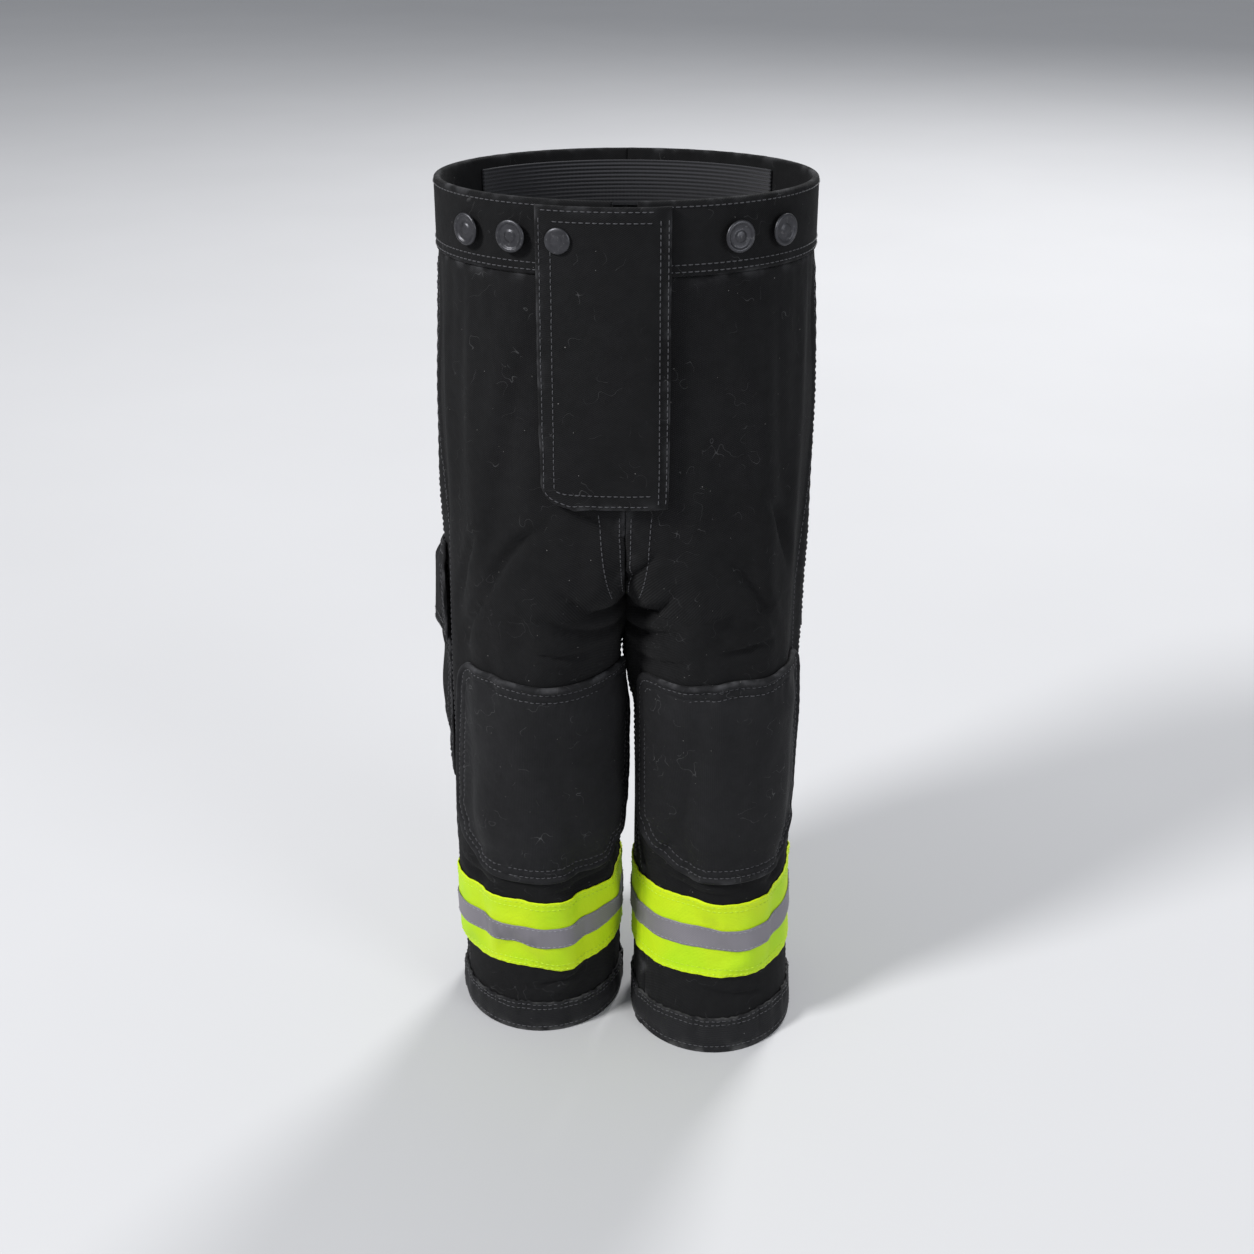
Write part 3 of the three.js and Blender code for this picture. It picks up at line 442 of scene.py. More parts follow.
def seam_relief(side, t, z):
    """Felled side and inside seams: a doubled strip beside each, drawn up a little by its thread."""
    turn = seam_turn(side, z)
    round_from_turn = (t - turn + PI) % (2 * PI) - PI
    from_side = -(t - turn / 2) * LEG_RADIUS
    from_inside = (inner_angle(side, z, SEAM_HALF) - round_from_turn) * LEG_RADIUS
    total = 0
    for d in (from_side, from_inside):
        strip = smooth((d - 0.1 * MM) / (1.3 * MM)) * smooth((SEAM_WIDTH - d) / (1.3 * MM))
        drawn = np.sin(2 * PI * z / (8.5 * MM) + 3 * np.sin(z / (31 * MM)))
        near = np.exp(-(((d - SEAM_WIDTH / 2) / (6.5 * MM)) ** 2))
        total = total + 0.6 * MM * strip + 0.18 * MM * drawn * near
    return total * smooth((BAND_BOTTOM - 2 * MM - z) / (8 * MM))


def fine_relief(side, t, z):
    """What is too fine for the cloth grid: seams, sharp creases, and the pull of the cuff's stitching."""
    total = seam_relief(side, t, z)
    wrapped = wrapped_angle(t, z)
    between_legs = smooth((PI - np.abs(wrapped)) / 0.5)
    for name, sign in SIDES.items():
        here = side * sign > 0
        if np.any(here):
            sharp = CREASE_GAIN * fold_height(CREASES[name], sign, wrapped, z)
            sharp = sharp * looseness(sign, wrapped, z)
            total = total + np.where(here, sharp * mix(0.35, 1, between_legs), 0)
    gathered = np.sin(43 * t + 2 * np.sin(5 * t)) * np.exp(-np.abs(z - CUFF_TOP) / (7 * MM))
    return total + 0.3 * MM * gathered


def drape_point(side, t, z):
    """A point of the draped surface."""
    side, t, z = np.broadcast_arrays(np.asarray(side, float), t, z)
    z = np.clip(z, 0, HEIGHT)
    column = clamp01((wrapped_angle(t, z) / inner_angle(side, z) + 1) / 2) * COLUMNS + PAD
    row = z / ROW + PAD
    c0 = np.clip(np.floor(column).astype(int), 1, COLUMNS + 2 * PAD - 2)
    r0 = np.clip(np.floor(row).astype(int), 1, ROWS + 2 * PAD - 2)
    which = (side < 0).astype(int)
    moved = np.zeros(t.shape + (3,))
    for i, wr in enumerate(spline_weights(row - r0)):
        for j, wc in enumerate(spline_weights(column - c0)):
            moved += (wr * wc)[..., None] * field[which, r0 + i - 1, c0 + j - 1]
    _, _, rx, ry = section(side, z)
    out = np.stack([side * np.cos(t) / rx, np.sin(t) / ry, 0 * z], -1)
    out /= np.linalg.norm(out, axis=-1, keepdims=True)
    return base_point(side, t, z) + moved + out * fine_relief(side, t, z)[..., None]


def lay(side, t, z, off):
    """A point at a distance off the draped surface."""
    side, t, z, off = np.broadcast_arrays(np.asarray(side, float), t, z, off)
    normal = surface_normal(side, t, z, drape_point)
    return drape_point(side, t, z) + normal * off[..., None]


def along_leg(side, middle, distance, z):
    """The angle at a distance round the leg from the angle called middle."""
    _, _, rx, ry = section(side, z)
    t = middle + np.zeros(np.broadcast(distance, z).shape)
    for _ in range(8):
        t = t + distance / 8 / np.hypot(rx * np.sin(t), ry * np.cos(t))
    return t


def front_angle(x, z):
    side = np.where(x < 0, -1.0, 1.0)
    cx, _, rx, _ = section(side, z)
    return side, -np.arccos(np.clip((np.abs(x) - cx) / rx, -1, 1))


def back_angle(x, z):
    side, t = front_angle(x, z)
    return side, -t


# ---- Mesh building ----

def new_mesh(name, verts, faces, uv=None, edge=None):
    """A mesh from arrays: uv is the cloth's own place in metres, edge is 1 at a worn or folded edge."""
    verts = np.asarray(verts, float).reshape(-1, 3)
    faces = np.asarray(faces, int)
    mesh = bpy.data.meshes.new(name)
    mesh.vertices.add(len(verts))
    mesh.vertices.foreach_set("co", verts.ravel())
    mesh.loops.add(faces.size)
    mesh.polygons.add(len(faces))
    mesh.loops.foreach_set("vertex_index", faces.ravel())
    mesh.polygons.foreach_set("loop_start", np.arange(0, faces.size, faces.shape[1]))
    mesh.update(calc_edges=True)
    if uv is not None:
        layer = mesh.uv_layers.new(name="Weave")
        layer.uv.foreach_set("vector", np.asarray(uv, float).reshape(-1, 2)[faces.ravel()].ravel())
    if edge is not None:
        attribute = mesh.attributes.new("edge", "FLOAT", "POINT")
        attribute.data.foreach_set("value", np.asarray(edge, float).ravel())
    mesh.polygons.foreach_set("use_smooth", [True] * len(faces))
    mesh.validate()
    return link(name, mesh)


def outward_faces(obj):
    """Turns a closed mesh's faces to point out."""
    mesh = obj.data
    mesh.calc_loop_triangles()
    co = np.zeros(len(mesh.vertices) * 3)
    mesh.vertices.foreach_get("co", co)
    tri = np.zeros(len(mesh.loop_triangles) * 3, int)
    mesh.loop_triangles.foreach_get("vertices", tri)
    p = co.reshape(-1, 3)[tri.reshape(-1, 3)]
    if (p[:, 0] * np.cross(p[:, 1], p[:, 2])).sum() < 0:
        mesh.flip_normals()
    return obj


def spread(low, high, count, rim=1.2 * MM):
    """Values from low to high, evenly spaced, with a few more close to each end to round the edges."""
    near = rim * np.array([0, 0.12, 0.4, 0.8])
    inside = np.linspace(low + rim * 1.3, high - rim * 1.3, count)
    return np.concatenate([low + near, inside, (high - near)[::-1]])


def rounding(distance, radius):
    """Nearly 0 at an edge, rising to 1 as a quarter circle."""
    return np.maximum(np.sqrt(np.maximum(1 - (1 - clamp01(distance / radius)) ** 2, 0)), 0.02)


def two_sided(name, points_at, u, v, low, high, to_edge, radius, rims, joined, place):
    """A closed sheet between two offsets, thinned to a round edge. rims are the points along its edges."""
    middle = (low + high) / 2
    half = (high - low) / 2 * rounding(to_edge, radius)
    layers = [points_at(u, v, middle - half), points_at(u, v, middle + half)]
    n = u.size
    cells = quads(np.arange(n).reshape(u.shape), joined)
    faces = [cells[:, [0, 3, 2, 1]], cells + n]
    for rim in rims:
        faces.append(np.stack([rim[:-1], rim[1:], rim[1:] + n, rim[:-1] + n], 1))
    verts = np.concatenate([layer.reshape(-1, 3) for layer in layers])
    worn = np.exp(-to_edge / EDGE_WEAR).ravel()
    place = np.stack(place, -1).reshape(-1, 2)
    obj = new_mesh(name, verts, np.concatenate(faces), np.tile(place, (2, 1)), np.tile(worn, 2))
    return outward_faces(obj)


def thick_grid(name, points_at, us, vs, inner, outer, radius=1.1 * MM, uv=None):
    """A sheet with rounded edges. points_at(u, v, off) gives points; us and vs are distances in metres.
    inner and outer are offsets, as numbers or as functions of u and v."""
    u, v = np.meshgrid(us, vs)
    low = inner(u, v) if callable(inner) else np.full(u.shape, inner)
    high = outer(u, v) if callable(outer) else np.full(u.shape, outer)
    to_edge = np.minimum(np.minimum(v - vs[0], vs[-1] - v), np.minimum(u - us[0], us[-1] - u))
    index = np.arange(u.size).reshape(u.shape)
    rims = [index[0], index[-1][::-1], index[:, -1], index[:, 0][::-1]]
    place = uv(u, v) if uv else (u, v)
    return two_sided(name, points_at, u, v, low, high, to_edge, radius, rims, False, place)


def outlined_grid(name, points_at, outline, rings, inner, outer):
    """A round-cornered sheet: rings of points from its middle out to its outline, between two offsets."""
    r = np.concatenate([rings, [1.0]])[:, None]
    middle = outline.mean(0)
    u, v = (middle[k] + r * (outline[None, :, k] - middle[k]) for k in (0, 1))
    to_edge = (1 - r) * np.linalg.norm(outline - middle, axis=1)
    low, high = inner(u, v, to_edge), outer(u, v, to_edge)
    last = np.arange(u.size).reshape(u.shape)[-1]
    rim = np.append(last, last[0])[::-1]
    return two_sided(name, points_at, u, v, low, high, to_edge, 1.2 * MM, [rim], True, (u, v))


# ---- Stitches ----

STITCH_PITCH = 3.3 * MM
STITCH_LENGTH = 2.5 * MM
STITCH_RADIUS = 0.27 * MM
STITCH_SIDES = 6
# A stitch's five rings: how far along it, how thick, and how high off the cloth, in radii.
STITCH_SHARE = np.array([0.0, 0.18, 0.5, 0.82, 1.0])
STITCH_SIZE = np.array([0.35, 0.9, 1.0, 0.9, 0.35])
STITCH_RISE = np.array([-0.9, 0.1, 0.55, 0.1, -0.9])


def stitch_row(points, normals):
    """Threads along a path, one short arched capsule each, as (verts, faces)."""
    steps = np.linalg.norm(np.diff(points, axis=0), axis=1)
    run = np.concatenate([[0], np.cumsum(steps)])
    count = int((run[-1] - STITCH_LENGTH) / STITCH_PITCH)
    if count < 1:
        return np.zeros((0, 3)), np.zeros((0, 4), int)

    def along(values, at):
        return np.stack([np.interp(at, run, values[:, k]) for k in range(3)], 1)

    starts = STITCH_PITCH * (np.arange(count) + 0.3)
    at = (starts[:, None] + STITCH_SHARE * STITCH_LENGTH).ravel()
    normal = along(normals, at)
    normal /= np.linalg.norm(normal, axis=1, keepdims=True)
    tangent = along(points, at + 0.2 * MM) - along(points, at - 0.2 * MM)
    tangent /= np.maximum(np.linalg.norm(tangent, axis=1, keepdims=True), 1e-9)
    across = np.cross(tangent, normal)
    radius = np.tile(STITCH_SIZE, count)[:, None] * STITCH_RADIUS
    lift = np.tile(STITCH_RISE, count)[:, None] * STITCH_RADIUS
    angle = 2 * PI * np.arange(STITCH_SIDES) / STITCH_SIDES
    verts = along(points, at)[:, None] + normal[:, None] * (lift + radius * np.sin(angle))[..., None]
    verts = verts + across[:, None] * (radius * np.cos(angle))[..., None]
    index = np.arange(len(at) * STITCH_SIDES).reshape(count, len(STITCH_SHARE), STITCH_SIDES)
    faces = [quads(index, joined=True)]
    for end in (index[:, 0], index[:, -1]):
        faces += [end[:, :4], end[:, [0, 3, 4, 5]]]
    return verts.reshape(-1, 3), np.concatenate(faces)


def stitches(name, rows, finish, body="pants"):
    """One piece of thread from several rows. A row is (side, angles, heights, offset)."""
    verts, faces, total = [], [], 0
    for side, t, z, off in rows:
        side, t, z, off = np.broadcast_arrays(np.asarray(side, float), t, z, off)
        row_verts, row_faces = stitch_row(lay(side, t, z, off), surface_normal(side, t, z, drape_point))
        verts.append(row_verts)
        faces.append(row_faces + total)
        total += len(row_verts)
    obj = new_mesh(name, np.concatenate(verts), np.concatenate(faces))
    return dress(obj, finish, slot="shell_cloth", body=body)


def dress(obj, finish, body="pants", slot=None, stands_for=(), flat=None, held="laid", on=()):
    """Gives a piece its material and body, and hides the CAD nodes it replaces; slot and flat are not used."""
    obj.data.materials.clear()
    obj.data.materials.append(finish)
    if body:
        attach(obj, body)
    if stands_for:
        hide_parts(*stands_for)
    return obj


# ---- Finishes ----

class Finish:
    """A material built up node by node. Its colour and roughness are plain until something varies them."""

    def __init__(self, name, color, roughness, sheen=0.0, metallic=0.0, specular=0.35):
        self.material = bpy.data.materials.new(name)
        self.material.use_nodes = True
        self.tree = self.material.node_tree
        self.shader = self.tree.nodes["Principled BSDF"]
        self.shader.inputs["Metallic"].default_value = metallic
        self.shader.inputs["Sheen Weight"].default_value = sheen
        self.shader.inputs["Sheen Roughness"].default_value = 0.45
        self.shader.inputs["Specular IOR Level"].default_value = specular
        self.color = color
        self.roughness = roughness
        self.bump = None
        self.place = self.node("ShaderNodeTexCoord").outputs["Object"]
        self.weave = self.node("ShaderNodeUVMap", uv_map="Weave").outputs["UV"]

    def node(self, kind, **settings):
        made = self.tree.nodes.new(kind)
        for key, value in settings.items():
            setattr(made, key, value)
        return made

    def put(self, socket, value):
        if isinstance(value, bpy.types.NodeSocket):
            self.tree.links.new(value, socket)
        elif socket.type == "RGBA":
            socket.default_value = (*value, 1)
        else:
            socket.default_value = value

    def math(self, operation, a, b=0.0):
        made = self.node("ShaderNodeMath", operation=operation)
        self.put(made.inputs[0], a)
        self.put(made.inputs[1], b)
        return made.outputs[0]

    def ramp(self, value, low, high):
        """0 below low and 1 above high."""
        made = self.node("ShaderNodeMapRange", interpolation_type="SMOOTHSTEP")
        self.put(made.inputs["Value"], value)
        made.inputs["From Min"].default_value = low
        made.inputs["From Max"].default_value = high
        return made.outputs["Result"]

    def noise(self, per_metre, detail=3.0, stretch=(1, 1, 1)):
        mapping = self.node("ShaderNodeMapping")
        self.put(mapping.inputs["Vector"], self.place)
        mapping.inputs["Scale"].default_value = stretch
        made = self.node("ShaderNodeTexNoise")
        self.put(made.inputs["Vector"], mapping.outputs["Vector"])
        made.inputs["Scale"].default_value = per_metre
        made.inputs["Detail"].default_value = detail
        return made.outputs["Fac"]

    def waves(self, pitch, angle):
        """Straight ridges across the weave, one every pitch metres, at an angle in degrees."""
        mapping = self.node("ShaderNodeMapping")
        self.put(mapping.inputs["Vector"], self.weave)
        mapping.inputs["Rotation"].default_value = (0, 0, math.radians(angle))
        made = self.node("ShaderNodeTexWave", wave_type="BANDS", bands_direction="X")
        self.put(made.inputs["Vector"], mapping.outputs["Vector"])
        made.inputs["Scale"].default_value = PI / (10 * pitch)
        made.inputs["Distortion"].default_value = 0
        return made.outputs["Fac"]

    def specks(self, per_metre, size, share):
        """Small spots: 1 inside them. share is how many of the cells have one."""
        cells = self.node("ShaderNodeTexVoronoi")
        self.put(cells.inputs["Vector"], self.place)
        cells.inputs["Scale"].default_value = per_metre
        near = self.math("LESS_THAN", cells.outputs["Distance"], size)
        split = self.node("ShaderNodeSeparateColor")
        self.put(split.inputs["Color"], cells.outputs["Color"])
        return self.math("MULTIPLY", near, self.math("LESS_THAN", split.outputs["Red"], share))

    def crossed(self, warp, weft, angle, low, high, distance):
        """Threads that cross: they shade the colour between low and high, and stand up a distance."""
        thread = self.math("MULTIPLY", self.waves(warp, angle), self.waves(weft, angle - 90))
        self.shade(thread, low, high)
        self.relief(thread, distance)

    def edge(self):
        return self.node("ShaderNodeAttribute", attribute_name="edge").outputs["Fac"]

    def blend_color(self, amount, color):
        made = self.node("ShaderNodeMix", data_type="RGBA")
        self.put(made.inputs["Factor"], amount)
        self.put(made.inputs[6], self.color)
        self.put(made.inputs[7], color)
        self.color = made.outputs[2]

    def shade(self, amount, low, high):
        """Multiplies the colour by something between low and high."""
        gain = self.math("MULTIPLY_ADD", amount, high - low)
        gain.node.inputs[2].default_value = low
        made = self.node("ShaderNodeVectorMath", operation="SCALE")
        self.put(made.inputs[0], self.color)
        self.put(made.inputs["Scale"], gain)
        self.color = made.outputs[0]

    def rough(self, amount, change):
        part = self.math("MULTIPLY", amount, change)
        self.roughness = self.math("ADD", self.roughness, part)

    def relief(self, height, distance):
        made = self.node("ShaderNodeBump")
        made.inputs["Strength"].default_value = 1
        made.inputs["Distance"].default_value = distance
        self.put(made.inputs["Height"], height)
        if self.bump is not None:
            self.put(made.inputs["Normal"], self.bump)
        self.bump = made.outputs["Normal"]

    def done(self):
        self.put(self.shader.inputs["Base Color"], self.color)
        self.put(self.shader.inputs["Roughness"], self.roughness)
        if self.bump is not None:
            self.put(self.shader.inputs["Normal"], self.bump)
        return self.material


LINT = (0.30, 0.29, 0.28)
HAIR = (0.07, 0.07, 0.072)
RUBBED = (0.085, 0.085, 0.09)


def worn_cloth(finish, scuff=0.5, lint=0.5):
    """Uneven dye, hairs, pale scuffs on raised edges, and lint."""
    finish.shade(finish.noise(14, 4), 0.55, 1.5)
    finish.shade(finish.noise(160, 3), 0.7, 1.3)
    line = finish.math("ABSOLUTE", finish.math("SUBTRACT", finish.noise(95, 1), 0.5))
    patches = finish.ramp(finish.noise(60, 2), 0.56, 0.6)
    hairs = finish.math("MULTIPLY", finish.math("LESS_THAN", line, 0.0028), patches)
    finish.blend_color(finish.math("MULTIPLY", hairs, scuff), HAIR)
    rubbed = finish.math("MULTIPLY", finish.edge(), finish.ramp(finish.noise(90, 4), 0.45, 0.7))
    finish.blend_color(finish.math("MULTIPLY", rubbed, scuff), RUBBED)
    finish.blend_color(finish.math("MULTIPLY", finish.specks(260, 0.075, 0.05), lint), LINT)
    finish.blend_color(finish.math("MULTIPLY", finish.specks(430, 0.09, 0.03), lint), LINT)


def make_shell_cloth():
    f = Finish("shell_cloth", (0.0090, 0.0090, 0.0096), 0.86, sheen=0.02, specular=0.12)
    f.crossed(0.85 * MM, 0.55 * MM, 58, 0.62, 1.5, 0.16 * MM)
    worn_cloth(f)
    f.rough(f.noise(60, 3), 0.14)
    f.relief(f.noise(240, 4), 0.35 * MM)
    return f.done()


def make_patch_cloth():
    f = Finish("patch_cloth", (0.0090, 0.0090, 0.0100), 0.66, sheen=0.02, specular=0.17)
    f.crossed(0.7 * MM, 0.7 * MM, 0, 0.8, 1.25, 0.08 * MM)
    worn_cloth(f, scuff=0.8, lint=0.4)
    f.rough(f.noise(45, 5), 0.26)
    f.relief(f.noise(110, 5), 0.6 * MM)
    return f.done()


def make_liner_cloth():
    f = Finish("liner_cloth", (0.16, 0.165, 0.175), 0.95, sheen=0.2)
    f.crossed(0.6 * MM, 0.6 * MM, 0, 0.8, 1.15, 0.08 * MM)
    f.shade(f.noise(25, 4), 0.8, 1.15)
    f.relief(f.noise(300, 3), 0.3 * MM)
    return f.done()


def make_lime_trim():
    f = Finish("lime_trim", (0.50, 0.68, 0.001), 0.62, sheen=0.02)
    ribs = f.waves(0.9 * MM, 90)
    thread = f.waves(0.5 * MM, 0)
    f.shade(ribs, 0.95, 1.02)
    f.blend_color(f.ramp(f.noise(18, 3), 0.35, 0.7), (0.36, 0.62, 0.0))
    grime = f.ramp(f.noise(55, 6), 0.6, 0.8)
    f.blend_color(f.math("MULTIPLY", grime, 0.3), (0.30, 0.36, 0.03))
    f.blend_color(f.math("MULTIPLY", f.edge(), 0.7), (0.66, 0.80, 0.0))
    f.relief(f.math("MULTIPLY", ribs, thread), 0.12 * MM)
    f.relief(f.noise(150, 4), 0.4 * MM)
    return f.done()


def make_silver_trim():
    f = Finish("silver_trim", (0.20, 0.19, 0.21), 0.42, metallic=0.25)
    f.shade(f.noise(35, 4), 0.85, 1.15)
    crease = f.ramp(f.noise(60, 4, stretch=(1, 1, 0.35)), 0.56, 0.66)
    f.shade(crease, 1.0, 0.85)
    beads = f.math("MULTIPLY", f.waves(1.1 * MM, 45), f.waves(1.1 * MM, -45))
    f.shade(beads, 0.92, 1.1)
    f.rough(f.noise(70, 4), 0.25)
    f.relief(beads, 0.05 * MM)
    f.relief(f.noise(90, 3, stretch=(1, 1, 0.4)), 0.4 * MM)
    return f.done()


def make_cuff_binding():
    f = Finish("cuff_binding", (0.007, 0.007, 0.008), 0.6, sheen=0.02, specular=0.2)
    grain = f.noise(700, 4)
    f.shade(f.noise(40, 4), 0.7, 1.4)
    rubbed = f.math("MULTIPLY", f.edge(), f.ramp(f.noise(120, 4), 0.4, 0.65))
    f.blend_color(f.math("MULTIPLY", rubbed, 0.7), (0.10, 0.10, 0.10))
    f.blend_color(f.math("MULTIPLY", f.specks(420, 0.1, 0.05), 0.5), LINT)
    f.rough(f.noise(60, 4), 0.25)
    f.relief(grain, 0.25 * MM)
    f.relief(f.waves(1.3 * MM, 90), 0.1 * MM)
    return f.done()


def make_hook_and_loop():
    f = Finish("hook_and_loop", (0.010, 0.010, 0.012), 1.0, sheen=0.5)
    f.shade(f.noise(900, 2), 0.4, 2.2)
    f.relief(f.noise(900, 4), 0.9 * MM)
    f.relief(f.waves(1.6 * MM, 90), 0.2 * MM)
    return f.done()


def make_elastic_web():
    f = Finish("elastic_web", (0.02, 0.02, 0.023), 0.9, sheen=0.2)
    f.shade(f.waves(2 * MM, 90), 0.5, 1.4)
    f.shade(f.waves(0.8 * MM, 0), 0.8, 1.2)
    f.relief(f.waves(0.8 * MM, 0), 0.15 * MM)
    return f.done()


def make_zip_tape():
    f = Finish("zip_tape", (0.011, 0.011, 0.013), 0.85, sheen=0.1)
    f.shade(f.waves(0.6 * MM, 60), 0.6, 1.4)
    f.relief(f.waves(0.6 * MM, 60), 0.12 * MM)
    return f.done()


def make_zip_teeth():
    f = Finish("zip_teeth", (0.014, 0.014, 0.016), 0.38)
    f.rough(f.noise(300, 3), 0.2)
    return f.done()


def make_dark_metal():
    f = Finish("dark_metal", (0.055, 0.055, 0.06), 0.32, metallic=0.95)
    f.shade(f.noise(220, 5), 0.6, 1.5)
    f.blend_color(f.math("MULTIPLY", f.ramp(f.noise(700, 4), 0.58, 0.7), 0.3), (0.22, 0.22, 0.22))
    f.rough(f.noise(350, 4), 0.22)
    f.relief(f.noise(900, 3), 0.05 * MM)
    return f.done()


def make_thread(name, color):
    f = Finish(name, color, 0.55, sheen=0.2)
    f.shade(f.noise(1500, 2), 0.6, 1.5)
    f.relief(f.noise(2500, 2), 0.1 * MM)
    return f.done()


shell_cloth = make_shell_cloth()
patch_cloth = make_patch_cloth()
liner_cloth = make_liner_cloth()
lime_trim = make_lime_trim()
silver_trim = make_silver_trim()
cuff_binding = make_cuff_binding()
hook_and_loop = make_hook_and_loop()
elastic_web = make_elastic_web()
zip_tape = make_zip_tape()
zip_teeth = make_zip_teeth()
dark_metal = make_dark_metal()
black_thread = make_thread("black_thread", (0.045, 0.045, 0.05))
lime_thread = make_thread("lime_thread", (0.42, 0.60, 0.02))
grey_thread = make_thread("grey_thread", (0.22, 0.22, 0.24))


# ---- Shell panels ----

SHELL_THICKNESS = 2.2 * MM
FLY_HALF_GAP = 6 * MM
PANEL_WIDTH = 80 * MM
SHELL_FOOT = 2.4 * MM
CLEAR = 0.3 * MM
SEAM_COVER = 11 * MM
QUILT_PITCH = 22 * MM
QUILT_DEPTH = 1.3 * MM
LINER_FOOT = 14 * MM
LINER_DEPTH = 5 * MM
LINER_THICKNESS = 1.8 * MM
LINER_HALF_GAP = 19 * MM
LEG_GIRTH = 335 * MM
PANEL_CUT = (163 * MM, BAND_BOTTOM)
LINER_CUT = (152 * MM, BAND_BOTTOM - LINER_FOOT)


def panel_angle(side, is_front, share, z, half_gap):
    """The angle a share of the way from a panel's side seam (0) to its inside edge (1)."""
    beside = half_gap * smooth((z - FLY_BOTTOM + 4 * MM) / (4 * MM)) if is_front else 0.0
    edge = np.minimum(inner_angle(side, z, np.maximum(SEAM_HALF, beside)), PI - SEAM_HALF / LEG_RADIUS)
    turn = seam_turn(side, z)
    sign = -1 if is_front else 1
    return mix(turn / 2 + sign * SEAM_HALF / LEG_RADIUS, turn + sign * edge, share)


def panel_columns():
    """Distances across a panel, close together over its two seams."""
    near = np.concatenate([np.array([0, 0.12, 0.3]) * MM, np.arange(0.6 * MM, SEAM_COVER, 0.9 * MM)])
    middle = np.linspace(SEAM_COVER, PANEL_WIDTH - SEAM_COVER, 32)
    return np.unique(np.concatenate([near, middle, PANEL_WIDTH - near]))


def make_panel(name, side, is_front, rows, us, half_gap, inner, outer):
    def angle(u, z):
        return panel_angle(side, is_front, u / PANEL_WIDTH, z, half_gap)

    def at(u, z, off):
        return lay(side, angle(u, z), z, off)

    return thick_grid(name, at, us, rows, inner, outer, uv=lambda u, z: (angle(u, z) * LEG_RADIUS, z))


def quilting(u, v):
    """Diamond quilting: soft cushions between crossed rows of stitches."""
    a = np.abs(np.sin(PI * (u + v) / QUILT_PITCH))
    b = np.abs(np.sin(PI * (u - v) / QUILT_PITCH))
    return QUILT_DEPTH * (np.minimum(a, b) ** 0.6)


def liner_inside(u, v):
    return -LINER_DEPTH - LINER_THICKNESS + 0.9 * MM - quilting(u, v)


def shells(name):
    return [f"{name}_front_shell_cloth", f"{name}_back_shell_cloth"]


shell_rows = spread(SHELL_FOOT, BAND_BOTTOM - CLEAR, 230)
liner_rows = spread(LINER_FOOT, BAND_BOTTOM - CLEAR, 120)
shell_columns = panel_columns()
liner_columns = spread(0, PANEL_WIDTH, 50)
for name, side in SIDES.items():
    hung = {"held": "hung", "on": [f"{name}_waistband_cloth"]}
    for part, is_front in (("front", True), ("back", False)):
        shell = make_panel(
            f"{name}_{part}_shell_cloth", side, is_front, shell_rows, shell_columns, FLY_HALF_GAP,
            -SHELL_THICKNESS, 0.0,
        )
        dress(shell, shell_cloth, stands_for=[f"{name}_{part}_shell"], flat=PANEL_CUT, **hung)
        liner = make_panel(
            f"{name}_{part}_liner_quilt", side, is_front, liner_rows, liner_columns, LINER_HALF_GAP,
            liner_inside, -LINER_DEPTH,
        )
        dress(liner, liner_cloth, stands_for=[f"{name}_{part}_liner"], flat=LINER_CUT, **hung)


# ---- Cuffs ----

CUFF_OUT = 1.2 * MM
CUFF_IN_TOP = 10 * MM
CUFF_STEPS = 240
CUFF_CUT = (LEG_GIRTH, CUFF_TOP + CUFF_IN_TOP + SHELL_THICKNESS + 2 * CUFF_OUT)


def rounded_loop(corners, radius, steps_each=4):
    """A closed outline through corners, each one rounded."""
    points = []
    for k, corner in enumerate(corners):
        c = np.array(corner)
        before = np.array(corners[k - 1]) - c
        after = np.array(corners[(k + 1) % len(corners)]) - c
        reach = min(radius, np.linalg.norm(before) * 0.45, np.linalg.norm(after) * 0.45)
        p0 = c + before / np.linalg.norm(before) * reach
        p1 = c + after / np.linalg.norm(after) * reach
        for s in np.arange(steps_each + 1) / steps_each:
            points.append((1 - s) ** 2 * p0 + 2 * s * (1 - s) * c + s**2 * p1)
    return np.array(points)


def subdivided(points, longest):
    """The same closed outline with points at most a length apart."""
    made = []
    for a, b in zip(points, np.roll(points, -1, axis=0)):
        n = max(1, int(math.ceil(np.linalg.norm(b - a) / longest)))
        made.extend(a + (b - a) * i / n for i in range(n))
    return np.array(made)


